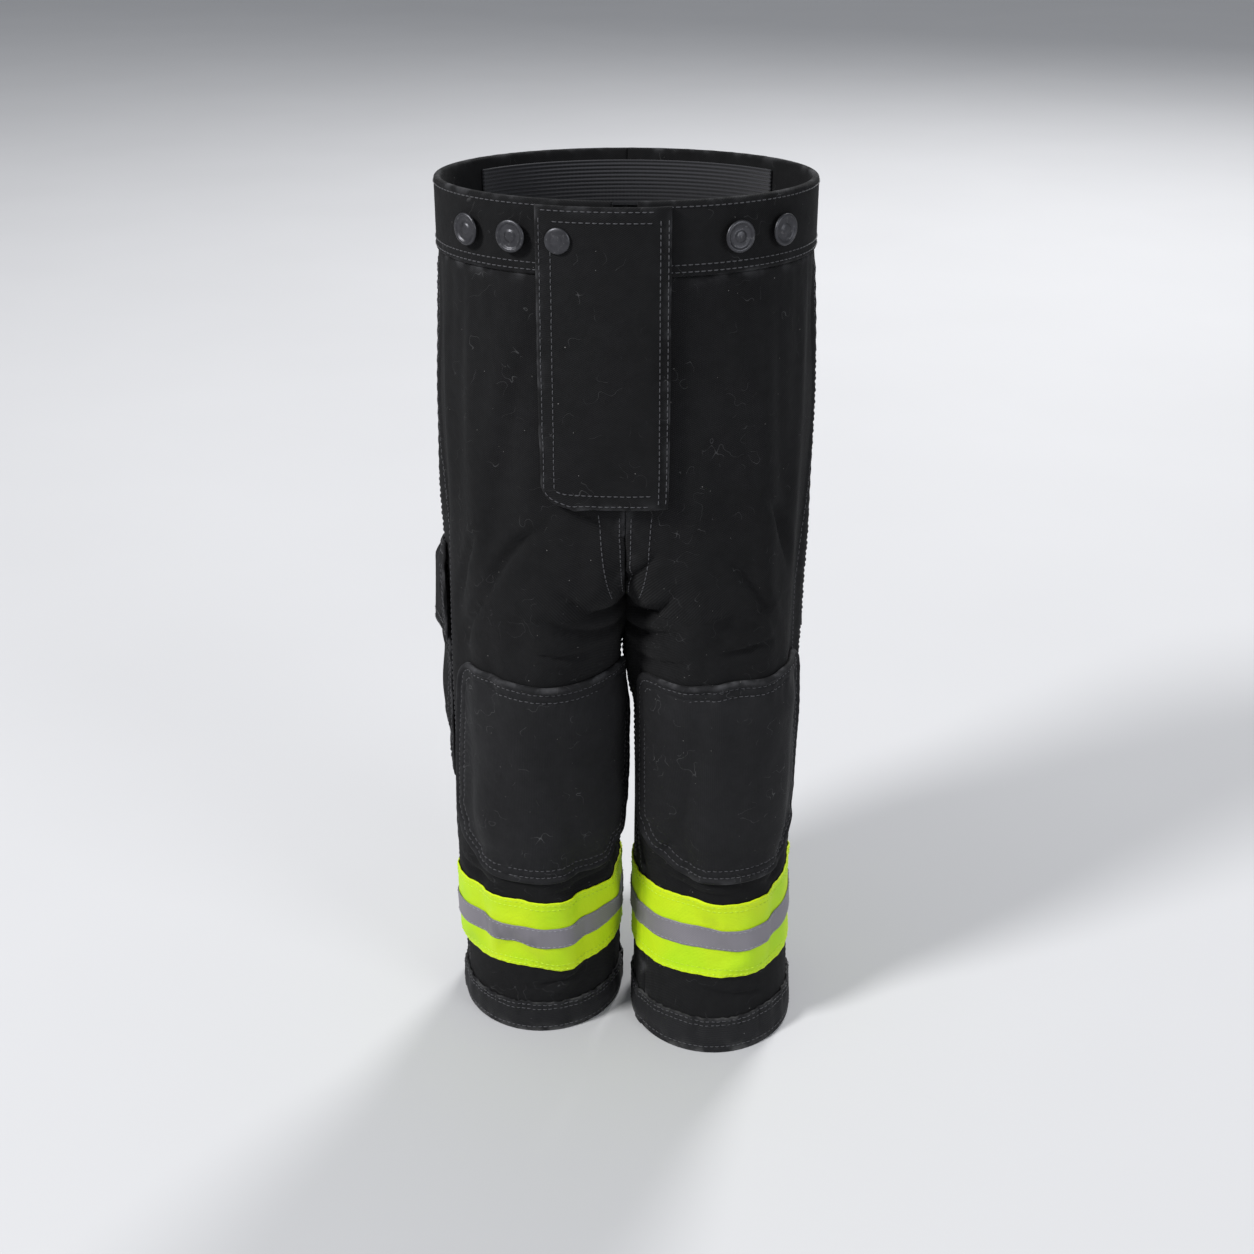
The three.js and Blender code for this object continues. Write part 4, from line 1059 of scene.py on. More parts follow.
def make_cuff(name, side):
    """A binding folded over the hem: outside, under the shell's edge and a little way up inside."""
    deep = -SHELL_THICKNESS - CLEAR
    corners = [
        (CLEAR + CUFF_OUT, 0), (CLEAR + CUFF_OUT, CUFF_TOP), (CLEAR, CUFF_TOP), (CLEAR, CUFF_OUT),
        (deep, CUFF_OUT), (deep, CUFF_IN_TOP), (deep - CUFF_OUT, CUFF_IN_TOP), (deep - CUFF_OUT, 0),
    ]
    outline = subdivided(rounded_loop(corners, 0.9 * MM), 2.2 * MM)
    t = np.linspace(-PI, PI, CUFF_STEPS + 1)[:-1]
    tt, off = np.meshgrid(t, outline[:, 0])
    zz = np.repeat(outline[:, 1:], CUFF_STEPS, 1)
    near_stitching = np.exp(-((zz - CUFF_TOP) ** 2) / (6 * MM) ** 2)
    pucker = 0.35 * MM * np.sin(57 * tt + 2 * np.sin(5 * tt)) * near_stitching
    soft = 0.30 * MM * np.sin(23 * tt + side) * smooth(zz / (4 * MM))
    points = lay(side, tt, zz, off + (pucker + soft) * (off > 0))
    points[..., 2] = zz + (points[..., 2] - zz) * smooth(zz / (3 * MM))
    index = np.arange(tt.size).reshape(tt.shape)
    index = np.concatenate([index, index[:1]], 0)
    worn = np.exp(-zz / (2.5 * MM)) + np.exp(-np.abs(CUFF_TOP - zz) / (1.2 * MM)) * 0.7
    place = np.stack([tt * LEG_RADIUS, zz], -1)
    return outward_faces(new_mesh(name, points, quads(index, joined=True), place, worn))


for name, side in SIDES.items():
    cuff = make_cuff(f"{name}_cuff", side)
    dress(
        cuff, cuff_binding, stands_for=[f"{name}_cuff_binding"], flat=CUFF_CUT, held="folded", on=shells(name),
    )


# ---- Trim ----

BAND_THICKNESS = 1 * MM
STRIPE_THICKNESS = 0.6 * MM
ALL_ROUND = PI * LEG_RADIUS - SEAM_HALF
TRIM_FACE = CLEAR + BAND_THICKNESS
STRIPE_BACK = TRIM_FACE + 0.15 * MM
STRIPE_FACE = STRIPE_BACK + STRIPE_THICKNESS


def trim_wave(side, t):
    """Sewn tape never runs quite level: how far it is above its place."""
    return (0.7 * np.sin(3 * t + side) + 0.35 * np.sin(7 * t + 2 * side) + 0.15 * np.sin(17 * t)) * MM


def make_trim(name, side, low, high, inner, outer, rows, seam_wave):
    def at(u, z, off):
        t = u / LEG_RADIUS
        ripple = 0.35 * MM * np.sin(41 * t + 1.5 * np.sin(6 * t)) * seam_wave
        edge = np.exp(-np.minimum(z - low, high - z) / (3 * MM))
        return lay(side, t, z + trim_wave(side, t), off + np.maximum(ripple, 0) * edge)

    us = spread(-ALL_ROUND, ALL_ROUND, 260)
    return thick_grid(name, at, us, spread(low, high, rows, 0.9 * MM), inner, outer, radius=0.6 * MM)


for name, side in SIDES.items():
    band = make_trim(f"{name}_lime_band", side, TRIM_BOTTOM, TRIM_TOP, CLEAR, TRIM_FACE, 22, 1.0)
    dress(
        band, lime_trim, stands_for=[f"{name}_trim_band"],
        flat=(LEG_GIRTH, TRIM_TOP - TRIM_BOTTOM), on=shells(name),
    )
    stripe = make_trim(
        f"{name}_silver_stripe", side, STRIPE_BOTTOM, STRIPE_TOP, STRIPE_BACK, STRIPE_FACE, 10, 0.5,
    )
    dress(
        stripe, silver_trim, stands_for=[f"{name}_trim_stripe"],
        flat=(LEG_GIRTH, STRIPE_TOP - STRIPE_BOTTOM), on=[f"{name}_lime_band"],
    )


# ---- Knee patches ----

PATCH_WIDTH = 128 * MM
PATCH_HEIGHT = PATCH_TOP - PATCH_BOTTOM
PATCH_TOP_RADIUS = 14 * MM
PATCH_BOTTOM_RADIUS = 40 * MM
PATCH_OFF = 0.6 * MM
PATCH_THICKNESS = 1.8 * MM
PATCH_DOME = 3.2 * MM
PATCH_ROWS = (4.6 * MM, 9.5 * MM)


def arc(cx, cy, radius, start):
    """A quarter circle of points from the angle called start."""
    angles = np.radians(np.linspace(start, start + 90, 10))
    return np.stack([cx + radius * np.cos(angles), cy + radius * np.sin(angles)], 1)


def even_points(outline, spacing):
    """Points spaced evenly round a closed outline."""
    closed = np.concatenate([outline, outline[:1]])
    run = np.concatenate([[0], np.cumsum(np.linalg.norm(np.diff(closed, axis=0), axis=1))])
    count = int(run[-1] / spacing)
    at = np.arange(count) * run[-1] / count
    return np.stack([np.interp(at, run, closed[:, k]) for k in (0, 1)], 1)


def patch_outline(inset=0.0, spacing=2 * MM):
    """The patch's outline round its own middle, or a line a distance inside it."""
    w, h = PATCH_WIDTH / 2, PATCH_HEIGHT / 2
    low, top = PATCH_BOTTOM_RADIUS, PATCH_TOP_RADIUS
    inner_low, inner_top = max(low - inset, 1 * MM), max(top - inset, 1 * MM)
    outline = np.concatenate([
        arc(w - low, low - h, inner_low, -90), arc(w - top, h - top, inner_top, 0),
        arc(top - w, h - top, inner_top, 90), arc(low - w, low - h, inner_low, 180),
    ])
    return even_points(outline, spacing)


def patch_place(name, side, x, y):
    """Where a point of the patch lies: its angle round the leg and its height."""
    z = (PATCH_BOTTOM + PATCH_TOP) / 2 + y
    return along_leg(side, PATCH_TURN[name] - QUARTER, x, z), z


def patch_lift(inset):
    """The patch's face, by the distance in from its edge: bead, grooves, then the padded dome."""
    bead = 0.9 * MM * np.exp(-(((inset - 2.1 * MM) / (1.5 * MM)) ** 2))
    groove = -0.5 * MM * np.exp(-(((inset - PATCH_ROWS[0]) / (1.0 * MM)) ** 2))
    second = -0.45 * MM * np.exp(-(((inset - PATCH_ROWS[1]) / (1.0 * MM)) ** 2))
    dome = PATCH_DOME * smooth((inset - 8 * MM) / (24 * MM))
    return bead + groove + second + dome


def patch_pucker(x, y, inset):
    """Small gathers along the patch's edge, deeper at the lower corners, where it is eased in."""
    around = np.arctan2(y, x)
    corner = np.exp(-((around + 0.78) ** 2) / 0.12) + np.exp(-((around + 2.36) ** 2) / 0.12)
    waves = np.sin(58 * around + 3 * np.sin(4 * around)) * 0.30 + np.sin(23 * around) * 0.9 * corner
    return waves * MM * np.exp(-(((inset - 9 * MM) / (8 * MM)) ** 2)) * smooth(inset / (3 * MM))


def patch_back(x, y, inset):
    return 0.2 * MM + 0.8 * patch_lift(inset) * (inset > 8 * MM)


def patch_face(x, y, inset):
    return PATCH_OFF + PATCH_THICKNESS + patch_lift(inset) + patch_pucker(x, y, inset)


patch_rings = np.concatenate([[0.001], np.linspace(0.06, 0.80, 20), np.linspace(0.815, 0.995, 24)])
for name, side in SIDES.items():
    patch = outlined_grid(
        f"{name}_knee_patch_cloth", lambda x, y, off: lay(side, *patch_place(name, side, x, y), off),
        patch_outline(), patch_rings, patch_back, patch_face,
    )
    dress(patch, patch_cloth, stands_for=[f"{name}_knee_patch", f"{name}_knee_pad"])


# ---- Cargo pockets, their flaps and tapes ----

POCKET_HALF = 45 * MM
POCKET_FULLNESS = 8.5 * MM
POCKET_EDGE_FADE = 35 * MM
POCKET_BOTTOM_FADE = 30 * MM
POCKET_WALL = 1.4 * MM
FLAP_HALF = POCKET_HALF + 4 * MM
FLAP_THICKNESS = 1.8 * MM
FLAP_RAMP = 18 * MM
FLAP_BEND = (1.5 * MM, 15 * MM)
TAPE_THICKNESS = 0.6 * MM
TAPE_HALF = 18 * MM
TAPE_LOW, TAPE_HIGH = z_range("right_pocket_loop_tape")
# Cut sizes: pockets, flaps and tapes stand off the leg, so they are wider than its arc under them.
POCKET_CUT = (105 * MM, POCKET_TOP - POCKET_BOTTOM)
FLAP_CUT = (124 * MM, FLAP_TOP - FLAP_BOTTOM)
TAPE_CUT = (45 * MM, TAPE_HIGH - TAPE_LOW)


def bulge(d):
    return POCKET_FULLNESS * smooth((POCKET_HALF - np.abs(d)) / POCKET_EDGE_FADE)


def pocket_under(d, z):
    return PATCH_OFF + bulge(d) * smooth((z - POCKET_BOTTOM) / POCKET_BOTTOM_FADE)


def pocket_slack(d, z):
    """Soft dents in the pocket's face, none along its sewn edges and mouth."""
    inside = smooth((POCKET_HALF - np.abs(d)) / (14 * MM)) * smooth((z - POCKET_BOTTOM) / (14 * MM))
    inside = inside * smooth((TAPE_LOW - 6 * MM - z) / (18 * MM))
    dents = np.sin(95 * d + 60 * z) + 0.7 * np.sin(150 * z - 40 * d + 1)
    dents = dents + 0.5 * np.sin(210 * d - 120 * z)
    crease = -2.2 * np.exp(-(((z - 0.196 - 0.35 * d) / (5 * MM)) ** 2))
    return (0.9 * dents + crease) * MM * inside


def pocket_back(d, z):
    return pocket_under(d, z) + pocket_slack(d, z) * 0.95


def pocket_face(d, z):
    return pocket_under(d, z) + POCKET_WALL + pocket_slack(d, z)


def flap_back(d, z):
    """The flap lies on the full pocket, and over the two tapes in its middle."""
    tapes = (2 * TAPE_THICKNESS + 2 * CLEAR) * smooth((TAPE_HALF + 12 * MM - np.abs(d)) / (9 * MM))
    return PATCH_OFF + (POCKET_WALL + CLEAR + bulge(d) + tapes) * smooth((FLAP_TOP - z) / FLAP_RAMP)


def flap_face(d, z):
    return flap_back(d, z) + FLAP_THICKNESS


def tape_at(off):
    """An offset above the pocket's face, for the tapes between it and the flap."""
    return lambda d, z: pocket_under(d, z) + POCKET_WALL + CLEAR + off


def pocket_angle(name, side, d, z):
    """The angle at a distance d round the leg from the pocket's middle."""
    return along_leg(side, POCKET_MIDDLE[name], d, z)


def make_pocket(name, side):
    """One pocket with its flap and tapes. Returns where the flap's cloth bends."""
    def at(d, z, off):
        return lay(side, pocket_angle(name, side, d, z), z, off)

    def sheet(label, half, columns, low, high, rows, inner, outer, radius=1.1 * MM):
        return thick_grid(
            f"{name}_{label}", at, spread(-half, half, columns), spread(low, high, rows), inner, outer, radius,
        )

    def tape(label, inner, outer):
        return sheet(label, TAPE_HALF, 20, TAPE_LOW, TAPE_HIGH, 12, inner, outer, 0.4 * MM)

    pocket = sheet(
        "cargo_pocket_cloth", POCKET_HALF, 56, POCKET_BOTTOM, POCKET_TOP, 60, pocket_back, pocket_face,
    )
    dress(pocket, shell_cloth, stands_for=[f"{name}_cargo_pocket"], flat=POCKET_CUT, on=shells(name))
    flap = sheet("pocket_flap_cloth", FLAP_HALF, 56, FLAP_BOTTOM, FLAP_TOP, 40, flap_back, flap_face)
    dress(
        flap, shell_cloth, None, stands_for=[f"{name}_pocket_flap"],
        flat=FLAP_CUT, held="hung", on=[f"{name}_cargo_pocket_cloth"],
    )
    bend = [Vector(at(np.array(0.0), np.array(FLAP_TOP - below), np.array(1.5 * MM))) for below in FLAP_BEND]
    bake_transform(flap)
    loop_tape = tape("pocket_loop", tape_at(0), tape_at(TAPE_THICKNESS))
    dress(
        loop_tape, hook_and_loop, stands_for=[f"{name}_pocket_loop_tape"],
        flat=TAPE_CUT, on=[f"{name}_cargo_pocket_cloth"],
    )
    hook_foot = TAPE_THICKNESS + CLEAR
    hook_tape = tape("flap_hook", tape_at(hook_foot), tape_at(hook_foot + TAPE_THICKNESS + 0.2 * MM))
    dress(
        hook_tape, hook_and_loop, f"{name}_flap", stands_for=[f"{name}_flap_hook_tape"],
        flat=TAPE_CUT, on=[f"{name}_pocket_flap_cloth"],
    )
    return bend


flap_bends = {name: make_pocket(name, side) for name, side in SIDES.items()}


# ---- Waistband and elastic ----

BAND_IN = 2.6 * MM
BAND_WIDTH = 300 * MM
WAIST_RADIUS = 98 * MM
ELASTIC_RADIUS = 88 * MM
ELASTIC_HALF_ANGLE = math.radians(55)
ELASTIC_LOW, ELASTIC_HIGH = z_range("back_elastic")
ELASTIC_THICKNESS = 1.4 * MM
ELASTIC_RIB = 2.1 * MM
ELASTIC_FACE = -BAND_IN - CLEAR


def gathers(side, t, z):
    """Upright folds at the back of the waistband, drawn up by the elastic, deepest at mid height."""
    at_back = smooth((ELASTIC_HALF_ANGLE + 0.12 - np.abs(t - QUARTER)) / 0.25)
    share = (z - BAND_BOTTOM) / (HEIGHT - BAND_BOTTOM)
    waves = np.sin(46 * t + side + 1.5 * np.sin(7 * t)) + 0.4 * np.sin(83 * t)
    return 0.75 * MM * (0.6 + waves) * at_back * (0.35 + 0.65 * np.sin(PI * clamp01(share)))


def band_angle(side, u, z):
    """The angle at a distance u along half of the waistband, from the fly to the middle of the back."""
    front = -inner_angle(side, z, FLY_HALF_GAP)
    back = inner_angle(side, z, SEAM_HALF)
    return mix(front, back, u / BAND_WIDTH)


def make_waistband(name, side):
    def at(u, z, off):
        t = band_angle(side, u, z)
        return lay(side, t, z, off + gathers(side, t, z) * (off > 0))

    return thick_grid(
        f"{name}_waistband_cloth", at, spread(0, BAND_WIDTH, 260), spread(BAND_BOTTOM, HEIGHT, 26),
        -BAND_IN, BAND_OUT, radius=1.6 * MM, uv=lambda u, z: (band_angle(side, u, z) * WAIST_RADIUS, z),
    )


for name, side in SIDES.items():
    dress(
        make_waistband(name, side), shell_cloth, stands_for=[f"{name}_waistband"],
        flat=(BAND_WIDTH, HEIGHT - BAND_BOTTOM), held="gathered", on=["back_elastic_web"],
    )
elastic_half = ELASTIC_HALF_ANGLE * WAIST_RADIUS
elastic = thick_grid(
    "back_elastic_web", lambda u, z, off: lay(1, QUARTER + u / WAIST_RADIUS, z, off),
    spread(-elastic_half, elastic_half, 150), spread(ELASTIC_LOW, ELASTIC_HIGH, 60),
    lambda u, z: ELASTIC_FACE - ELASTIC_THICKNESS + 0.35 * MM * np.cos(2 * PI * z / ELASTIC_RIB),
    ELASTIC_FACE, radius=0.5 * MM,
)
dress(
    elastic, elastic_web, stands_for=["back_elastic"],
    flat=(2 * ELASTIC_HALF_ANGLE * ELASTIC_RADIUS, ELASTIC_HIGH - ELASTIC_LOW), held="stretched",
    on=["left_waistband_cloth", "right_waistband_cloth"],
)


# ---- Fly ----

FLAP_SEWN_X = 22 * MM
FLAP_FREE_X = -42 * MM
STORM_THICKNESS = 2.6 * MM
STORM_OFF = 3.2 * MM
STORM_SEWN_OFF = 1.7 * MM
STORM_RAMP = 10 * MM
STORM_CORNER = 14 * MM
STORM_BOTTOM = FLY_BOTTOM - 4 * MM
STORM_TOP = HEIGHT - 2 * MM
STORM_BEND = (1 * MM, 9 * MM)
STORM_BEND_HEIGHT = 427 * MM
FLY_TAPE_LOW, FLY_TAPE_HIGH = z_range("fly_loop_tape")
FLY_TAPE_X = (-36 * MM, -20 * MM)
FLY_TAPE_CUT = (FLY_TAPE_X[1] - FLY_TAPE_X[0], FLY_TAPE_HIGH - FLY_TAPE_LOW)
SHIELD_HALF_WIDTH = 17 * MM
SHIELD_BOTTOM = FLY_BOTTOM + 2 * MM
ZIP_TOP = z_range("fly_shield")[1]
SHIELD_FACE = FRONT_PLANE + MIDDLE_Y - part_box("fly_shield")[0].y


def front_lay(x, z, off):
    """A point off the draped front, a distance x across it from the middle."""
    side, t = front_angle(x, z)
    return lay(side, t, z, off)


def front_rest(x, z, off):
    """A point off the undraped front, for what runs straight beside the zip."""
    side, t = front_angle(x, z)
    return base_point(side, t, z) + surface_normal(side, t, z, base_point) * np.asarray(off)[..., None]


def storm_back(x, v):
    return mix(STORM_SEWN_OFF, STORM_OFF, smooth((FLAP_SEWN_X - x) / STORM_RAMP))


def storm_face(x, v):
    return storm_back(x, v) + STORM_THICKNESS


def storm_height(x, v):
    """The height at v of the storm flap, whose free lower corner is rounded."""
    share = (v - STORM_BOTTOM) / (STORM_TOP - STORM_BOTTOM)
    into = np.maximum(STORM_CORNER - (x - FLAP_FREE_X), 0)
    rise = STORM_CORNER - np.sqrt(np.maximum(STORM_CORNER**2 - into**2, 0))
    return mix(STORM_BOTTOM + rise, STORM_TOP, share)


storm_flap = thick_grid(
    "storm_flap_cloth", lambda x, v, off: front_lay(x, storm_height(x, v), off),
    spread(FLAP_FREE_X, FLAP_SEWN_X, 46), spread(STORM_BOTTOM, STORM_TOP, 80), storm_back, storm_face,
    radius=1.3 * MM,
)
dress(
    storm_flap, shell_cloth, None, stands_for=["fly_storm_flap"],
    flat=(FLAP_SEWN_X - FLAP_FREE_X, STORM_TOP - STORM_BOTTOM), on=["left_front_shell_cloth"],
)
storm_bend = [
    Vector(front_lay(np.array(FLAP_SEWN_X - inset), np.array(STORM_BEND_HEIGHT), np.array(3 * MM)))
    for inset in STORM_BEND
]
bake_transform(storm_flap)

fly_tape_us = spread(*FLY_TAPE_X, 10)
fly_tape_vs = spread(FLY_TAPE_LOW, FLY_TAPE_HIGH, 50)
fly_loop = thick_grid("fly_loop", front_lay, fly_tape_us, fly_tape_vs, CLEAR, 1.2 * MM, radius=0.5 * MM)
dress(
    fly_loop, hook_and_loop, stands_for=["fly_loop_tape"], flat=FLY_TAPE_CUT, on=["right_front_shell_cloth"],
)
fly_hook = thick_grid("fly_hook", front_lay, fly_tape_us, fly_tape_vs, 1.7 * MM, 3.2 * MM, radius=0.5 * MM)
dress(
    fly_hook, hook_and_loop, "fly_flap", stands_for=["fly_hook_tape"], flat=FLY_TAPE_CUT, on=["storm_flap_cloth"],
)
shield = thick_grid(
    "fly_shield_cloth", front_rest, spread(-SHIELD_HALF_WIDTH, SHIELD_HALF_WIDTH, 24),
    spread(SHIELD_BOTTOM, ZIP_TOP, 60), SHIELD_FACE - 1 * MM, SHIELD_FACE, radius=0.5 * MM,
)
dress(
    shield, liner_cloth, stands_for=["fly_shield"],
    flat=(2 * SHIELD_HALF_WIDTH, ZIP_TOP - SHIELD_BOTTOM), on=["left_front_liner_quilt"],
)


# ---- Zip ----

ZIP_TAPE_DEPTH = 3.3 * MM
ZIP_TAPE_THICKNESS = 0.8 * MM
ZIP_TAPE_EDGE = 2.6 * MM
ZIP_TAPE_WIDTH = 14 * MM
TOOTH_PITCH = 2.5 * MM
TOOTH_SIDES = 8
TOOTH_HALF_Y, TOOTH_HALF_Z = 1.15 * MM, 0.85 * MM
TOOTH_Y = FRONT_PLANE + MIDDLE_Y + ZIP_TAPE_DEPTH + 0.4 * MM
# A tooth's five rings: the distance from the middle and how thick it is there.
TOOTH_RINGS = [(0.35 * MM, 0.5), (0.9 * MM, 0.95), (1.8 * MM, 1.0), (2.6 * MM, 0.8), (3.0 * MM, 0.45)]


def make_teeth(name, side):
    """One stringer's moulded teeth: rounded blocks with their noses towards the middle."""
    start = FLY_BOTTOM + 2 * MM + (0 if side > 0 else TOOTH_PITCH / 2)
    heights = np.arange(start, ZIP_TOP - 3 * MM, TOOTH_PITCH)
    angle = 2 * PI * (np.arange(TOOTH_SIDES) + 0.5) / TOOTH_SIDES
    c, s = (np.sign(v) * np.abs(v) ** 0.6 for v in (np.cos(angle), np.sin(angle)))
    x, size = np.array(TOOTH_RINGS).T[..., None]
    half_y, half_z = TOOTH_HALF_Y * size, TOOTH_HALF_Z * size
    tooth = np.stack(np.broadcast_arrays(side * x, c * half_y, s * half_z), -1)
    places = np.stack(np.broadcast_arrays(MIDDLE_X, TOOTH_Y, heights), -1)
    index = np.arange(len(heights) * x.size * TOOTH_SIDES).reshape(len(heights), x.size, TOOTH_SIDES)
    faces = [quads(index, joined=True)]
    for end in (index[:, 0], index[:, -1]):
        faces += [end[:, [0, i, i + 1, i + 2]] for i in (1, 3, 5)]
    verts = places[:, None, None] + tooth
    return outward_faces(new_mesh(f"{name}_zip_teeth", verts, np.concatenate(faces)))


def softened(node, name, radius, body="pants", slot=None):
    """A copy of a CAD piece with its edges rounded."""
    source = bpy.data.objects[node]
    mesh = source.data.copy()
    mesh.transform(source.matrix_world)
    obj = link(name, mesh)
    bm = bmesh.new()
    bm.from_mesh(mesh)
    bmesh.ops.remove_doubles(bm, verts=bm.verts, dist=0.01 * MM)
    bmesh.ops.dissolve_limit(bm, angle_limit=math.radians(3), verts=bm.verts, edges=bm.edges)
    bm.to_mesh(mesh)
    bm.free()
    bevel = obj.modifiers.new("Bevel", "BEVEL")
    bevel.width = radius
    bevel.segments = 3
    bevel.limit_method = "ANGLE"
    bevel.angle_limit = math.radians(30)
    mesh.polygons.foreach_set("use_smooth", [True] * len(mesh.polygons))
    weighted = obj.modifiers.new("Weighted", "WEIGHTED_NORMAL")
    weighted.keep_sharp = True
    return dress(obj, dark_metal, body, slot, stands_for=[node])


for name, side in SIDES.items():
    tape = thick_grid(
        f"{name}_zip_tape", lambda u, z, off: front_rest(side * u, z, off),
        spread(ZIP_TAPE_EDGE, ZIP_TAPE_EDGE + ZIP_TAPE_WIDTH, 14), spread(FLY_BOTTOM, ZIP_TOP, 70),
        -ZIP_TAPE_DEPTH - ZIP_TAPE_THICKNESS, -ZIP_TAPE_DEPTH, radius=0.4 * MM,
    )
    dress(
        tape, zip_tape, stands_for=[f"{name}_zip_stringer"],
        flat=(ZIP_TAPE_WIDTH, ZIP_TOP - FLY_BOTTOM), on=[f"{name}_front_shell_cloth"],
    )
    dress(make_teeth(name, side), zip_teeth, slot="zip_tape")
softened("zip_slider", "zip_slider_body", 0.25 * MM, "zip_slider")
softened("zip_pull", "zip_pull_tab", 0.2 * MM, "zip_slider", "zip_tape")
softened("zip_bottom_stop", "zip_stop", 0.5 * MM)


# ---- Buttons and snap ----

BUTTON_XS = {"front": (54 * MM, 76 * MM), "back": (18 * MM, 44 * MM)}
SNAP_X = -31 * MM
TURNED_STEPS = 64
# Outlines as (radius, height off the cloth) pairs in mm.
BUTTON_OUTLINE = [
    (0.02, 1.5), (3.4, 1.5), (3.4, 1.75), (2.5, 2.0), (2.3, 2.6), (2.4, 3.3), (3.2, 3.5), (6.9, 3.5),
    (7.6, 3.65),
    (7.95, 4.1), (8.0, 4.5), (7.8, 4.95), (7.3, 5.25), (6.6, 5.3), (6.2, 5.05), (5.9, 4.6), (5.4, 4.45),
    (3.4, 4.4), (3.0, 4.5), (2.7, 4.85), (2.1, 5.05), (0.02, 5.1),
]
CAP_OUTLINE = [
    (0.02, 6.1), (6.2, 6.1), (6.5, 6.25), (6.5, 6.7), (6.2, 7.1), (5.6, 7.35), (4.6, 7.5), (3.2, 7.55),
    (2.9, 7.42),
    (2.6, 7.55), (0.02, 7.6),
]
STUD_OUTLINE = [
    (0.02, 1.5), (4.0, 1.5), (4.0, 1.7), (3.4, 1.85), (1.7, 1.9), (1.5, 2.2), (1.7, 2.6), (1.5, 2.85),
    (0.02, 2.9),
]


def turned(node, x, angle_of, outline, body="pants"):
    """A turned piece on the middle of the waistband, a distance x across it, that stands for a CAD node."""
    z = np.array((BAND_BOTTOM + HEIGHT) / 2)
    side, t = angle_of(np.array(x), z)
    normal = surface_normal(side, t, z, base_point) * (1, 1, 0)
    normal /= np.linalg.norm(normal)
    up = np.array([0.0, 0.0, 1.0])
    radii, heights = (np.array(outline).T * MM)[..., None, None]
    angle = 2 * PI * np.arange(TURNED_STEPS)[:, None] / TURNED_STEPS
    ring = np.cos(angle) * np.cross(up, normal) + np.sin(angle) * up
    points = base_point(side, t, z) + radii * ring + heights * normal
    index = np.arange(len(outline) * TURNED_STEPS).reshape(len(outline), TURNED_STEPS)
    obj = outward_faces(new_mesh(node + "_metal", points, quads(index, joined=True)))
    return dress(obj, dark_metal, body, stands_for=[node])


for name, side in SIDES.items():
    for where, angle_of in (("front", front_angle), ("back", back_angle)):
        for i, x in enumerate(BUTTON_XS[where]):
            turned(f"{name}_{where}_suspender_button_{i + 1}", side * x, angle_of, BUTTON_OUTLINE)
turned("waist_snap_cap", SNAP_X, front_angle, CAP_OUTLINE, "fly_flap")
turned("waist_snap_stud", SNAP_X, front_angle, STUD_OUTLINE)


# ---- Stitching ----

ABOVE = 0.1 * MM
SEAM_ROWS = (1.6 * MM, 7.4 * MM)
EDGE_ROWS = (2 * MM, 7.5 * MM)
FLAP_ROWS = (2 * MM, 7 * MM)
FLAP_TOP_ROWS = (2.2 * MM, 6.6 * MM)
STORM_ROWS = (2.2 * MM, 7.5 * MM)
STORM_SEWN_ROWS = (1.6 * MM, 5.5 * MM)


def straight(a, b, step=1.5 * MM):
    return np.linspace(a, b, max(2, int(abs(b - a) / step)))


def round_row(side, z, off, wave=None):
    t = straight(-ALL_ROUND, ALL_ROUND) / LEG_RADIUS
    return side, t, z + (wave(side, t) if wave else 0 * t), off


def seam_row(side, is_front, distance, low, high):
    """Up a side seam, a distance into the panel, or up an inside seam where the distance is negative."""
    z = straight(low, high)
    share = distance / PANEL_WIDTH if distance > 0 else 1 + distance / PANEL_WIDTH
    return side, panel_angle(side, is_front, share, z, FLY_HALF_GAP), z, ABOVE


def sew_seams(name, side):
    under_band = BAND_BOTTOM - 2 * MM
    rows = []
    for low, high in ((TRIM_TOP + 2 * MM, under_band), (CUFF_TOP + 2 * MM, TRIM_BOTTOM - 2 * MM)):
        rows += [seam_row(side, True, inset, low, high) for inset in SEAM_ROWS]
    for inset in SEAM_ROWS:
        rows.append(seam_row(side, False, -inset, INSEAM + 10 * MM, under_band))
        rows.append(seam_row(side, True, -inset, INSEAM + 10 * MM, FLY_BOTTOM - 6 * MM))
        rows.append(seam_row(side, False, -inset, TRIM_TOP + 2 * MM, INSEAM - 4 * MM))
    stitches(f"{name}_seam_stitches", rows, black_thread)


def sew_cuff_and_trim(name, side):
    cuff_rows = (CUFF_TOP - 2.2 * MM, CUFF_TOP - 5.4 * MM, 3.5 * MM)
    band_rows = [TRIM_BOTTOM + inset for inset in (1.8 * MM, 5 * MM)]
    band_rows += [TRIM_TOP - inset for inset in (1.8 * MM, 5 * MM)]
    stripe_rows = (STRIPE_BOTTOM + 1.3 * MM, STRIPE_TOP - 1.3 * MM)
    for label, heights, off, wave, thread in (
        ("cuff", cuff_rows, CLEAR + CUFF_OUT + ABOVE, None, black_thread),
        ("trim", band_rows, TRIM_FACE + ABOVE / 2, trim_wave, lime_thread),
        ("stripe", stripe_rows, STRIPE_FACE + ABOVE / 2, trim_wave, grey_thread),
    ):
        stitches(f"{name}_{label}_stitches", [round_row(side, z, off, wave) for z in heights], thread)


def sew_patch(name, side):
    rows = []
    for inset in PATCH_ROWS:
        loop = patch_outline(inset, 1.5 * MM)
        x, y = np.concatenate([loop, loop[:1]]).T
        rows.append((side, *patch_place(name, side, x, y), patch_face(x, y, inset) + ABOVE))
    stitches(f"{name}_patch_stitches", rows, black_thread)


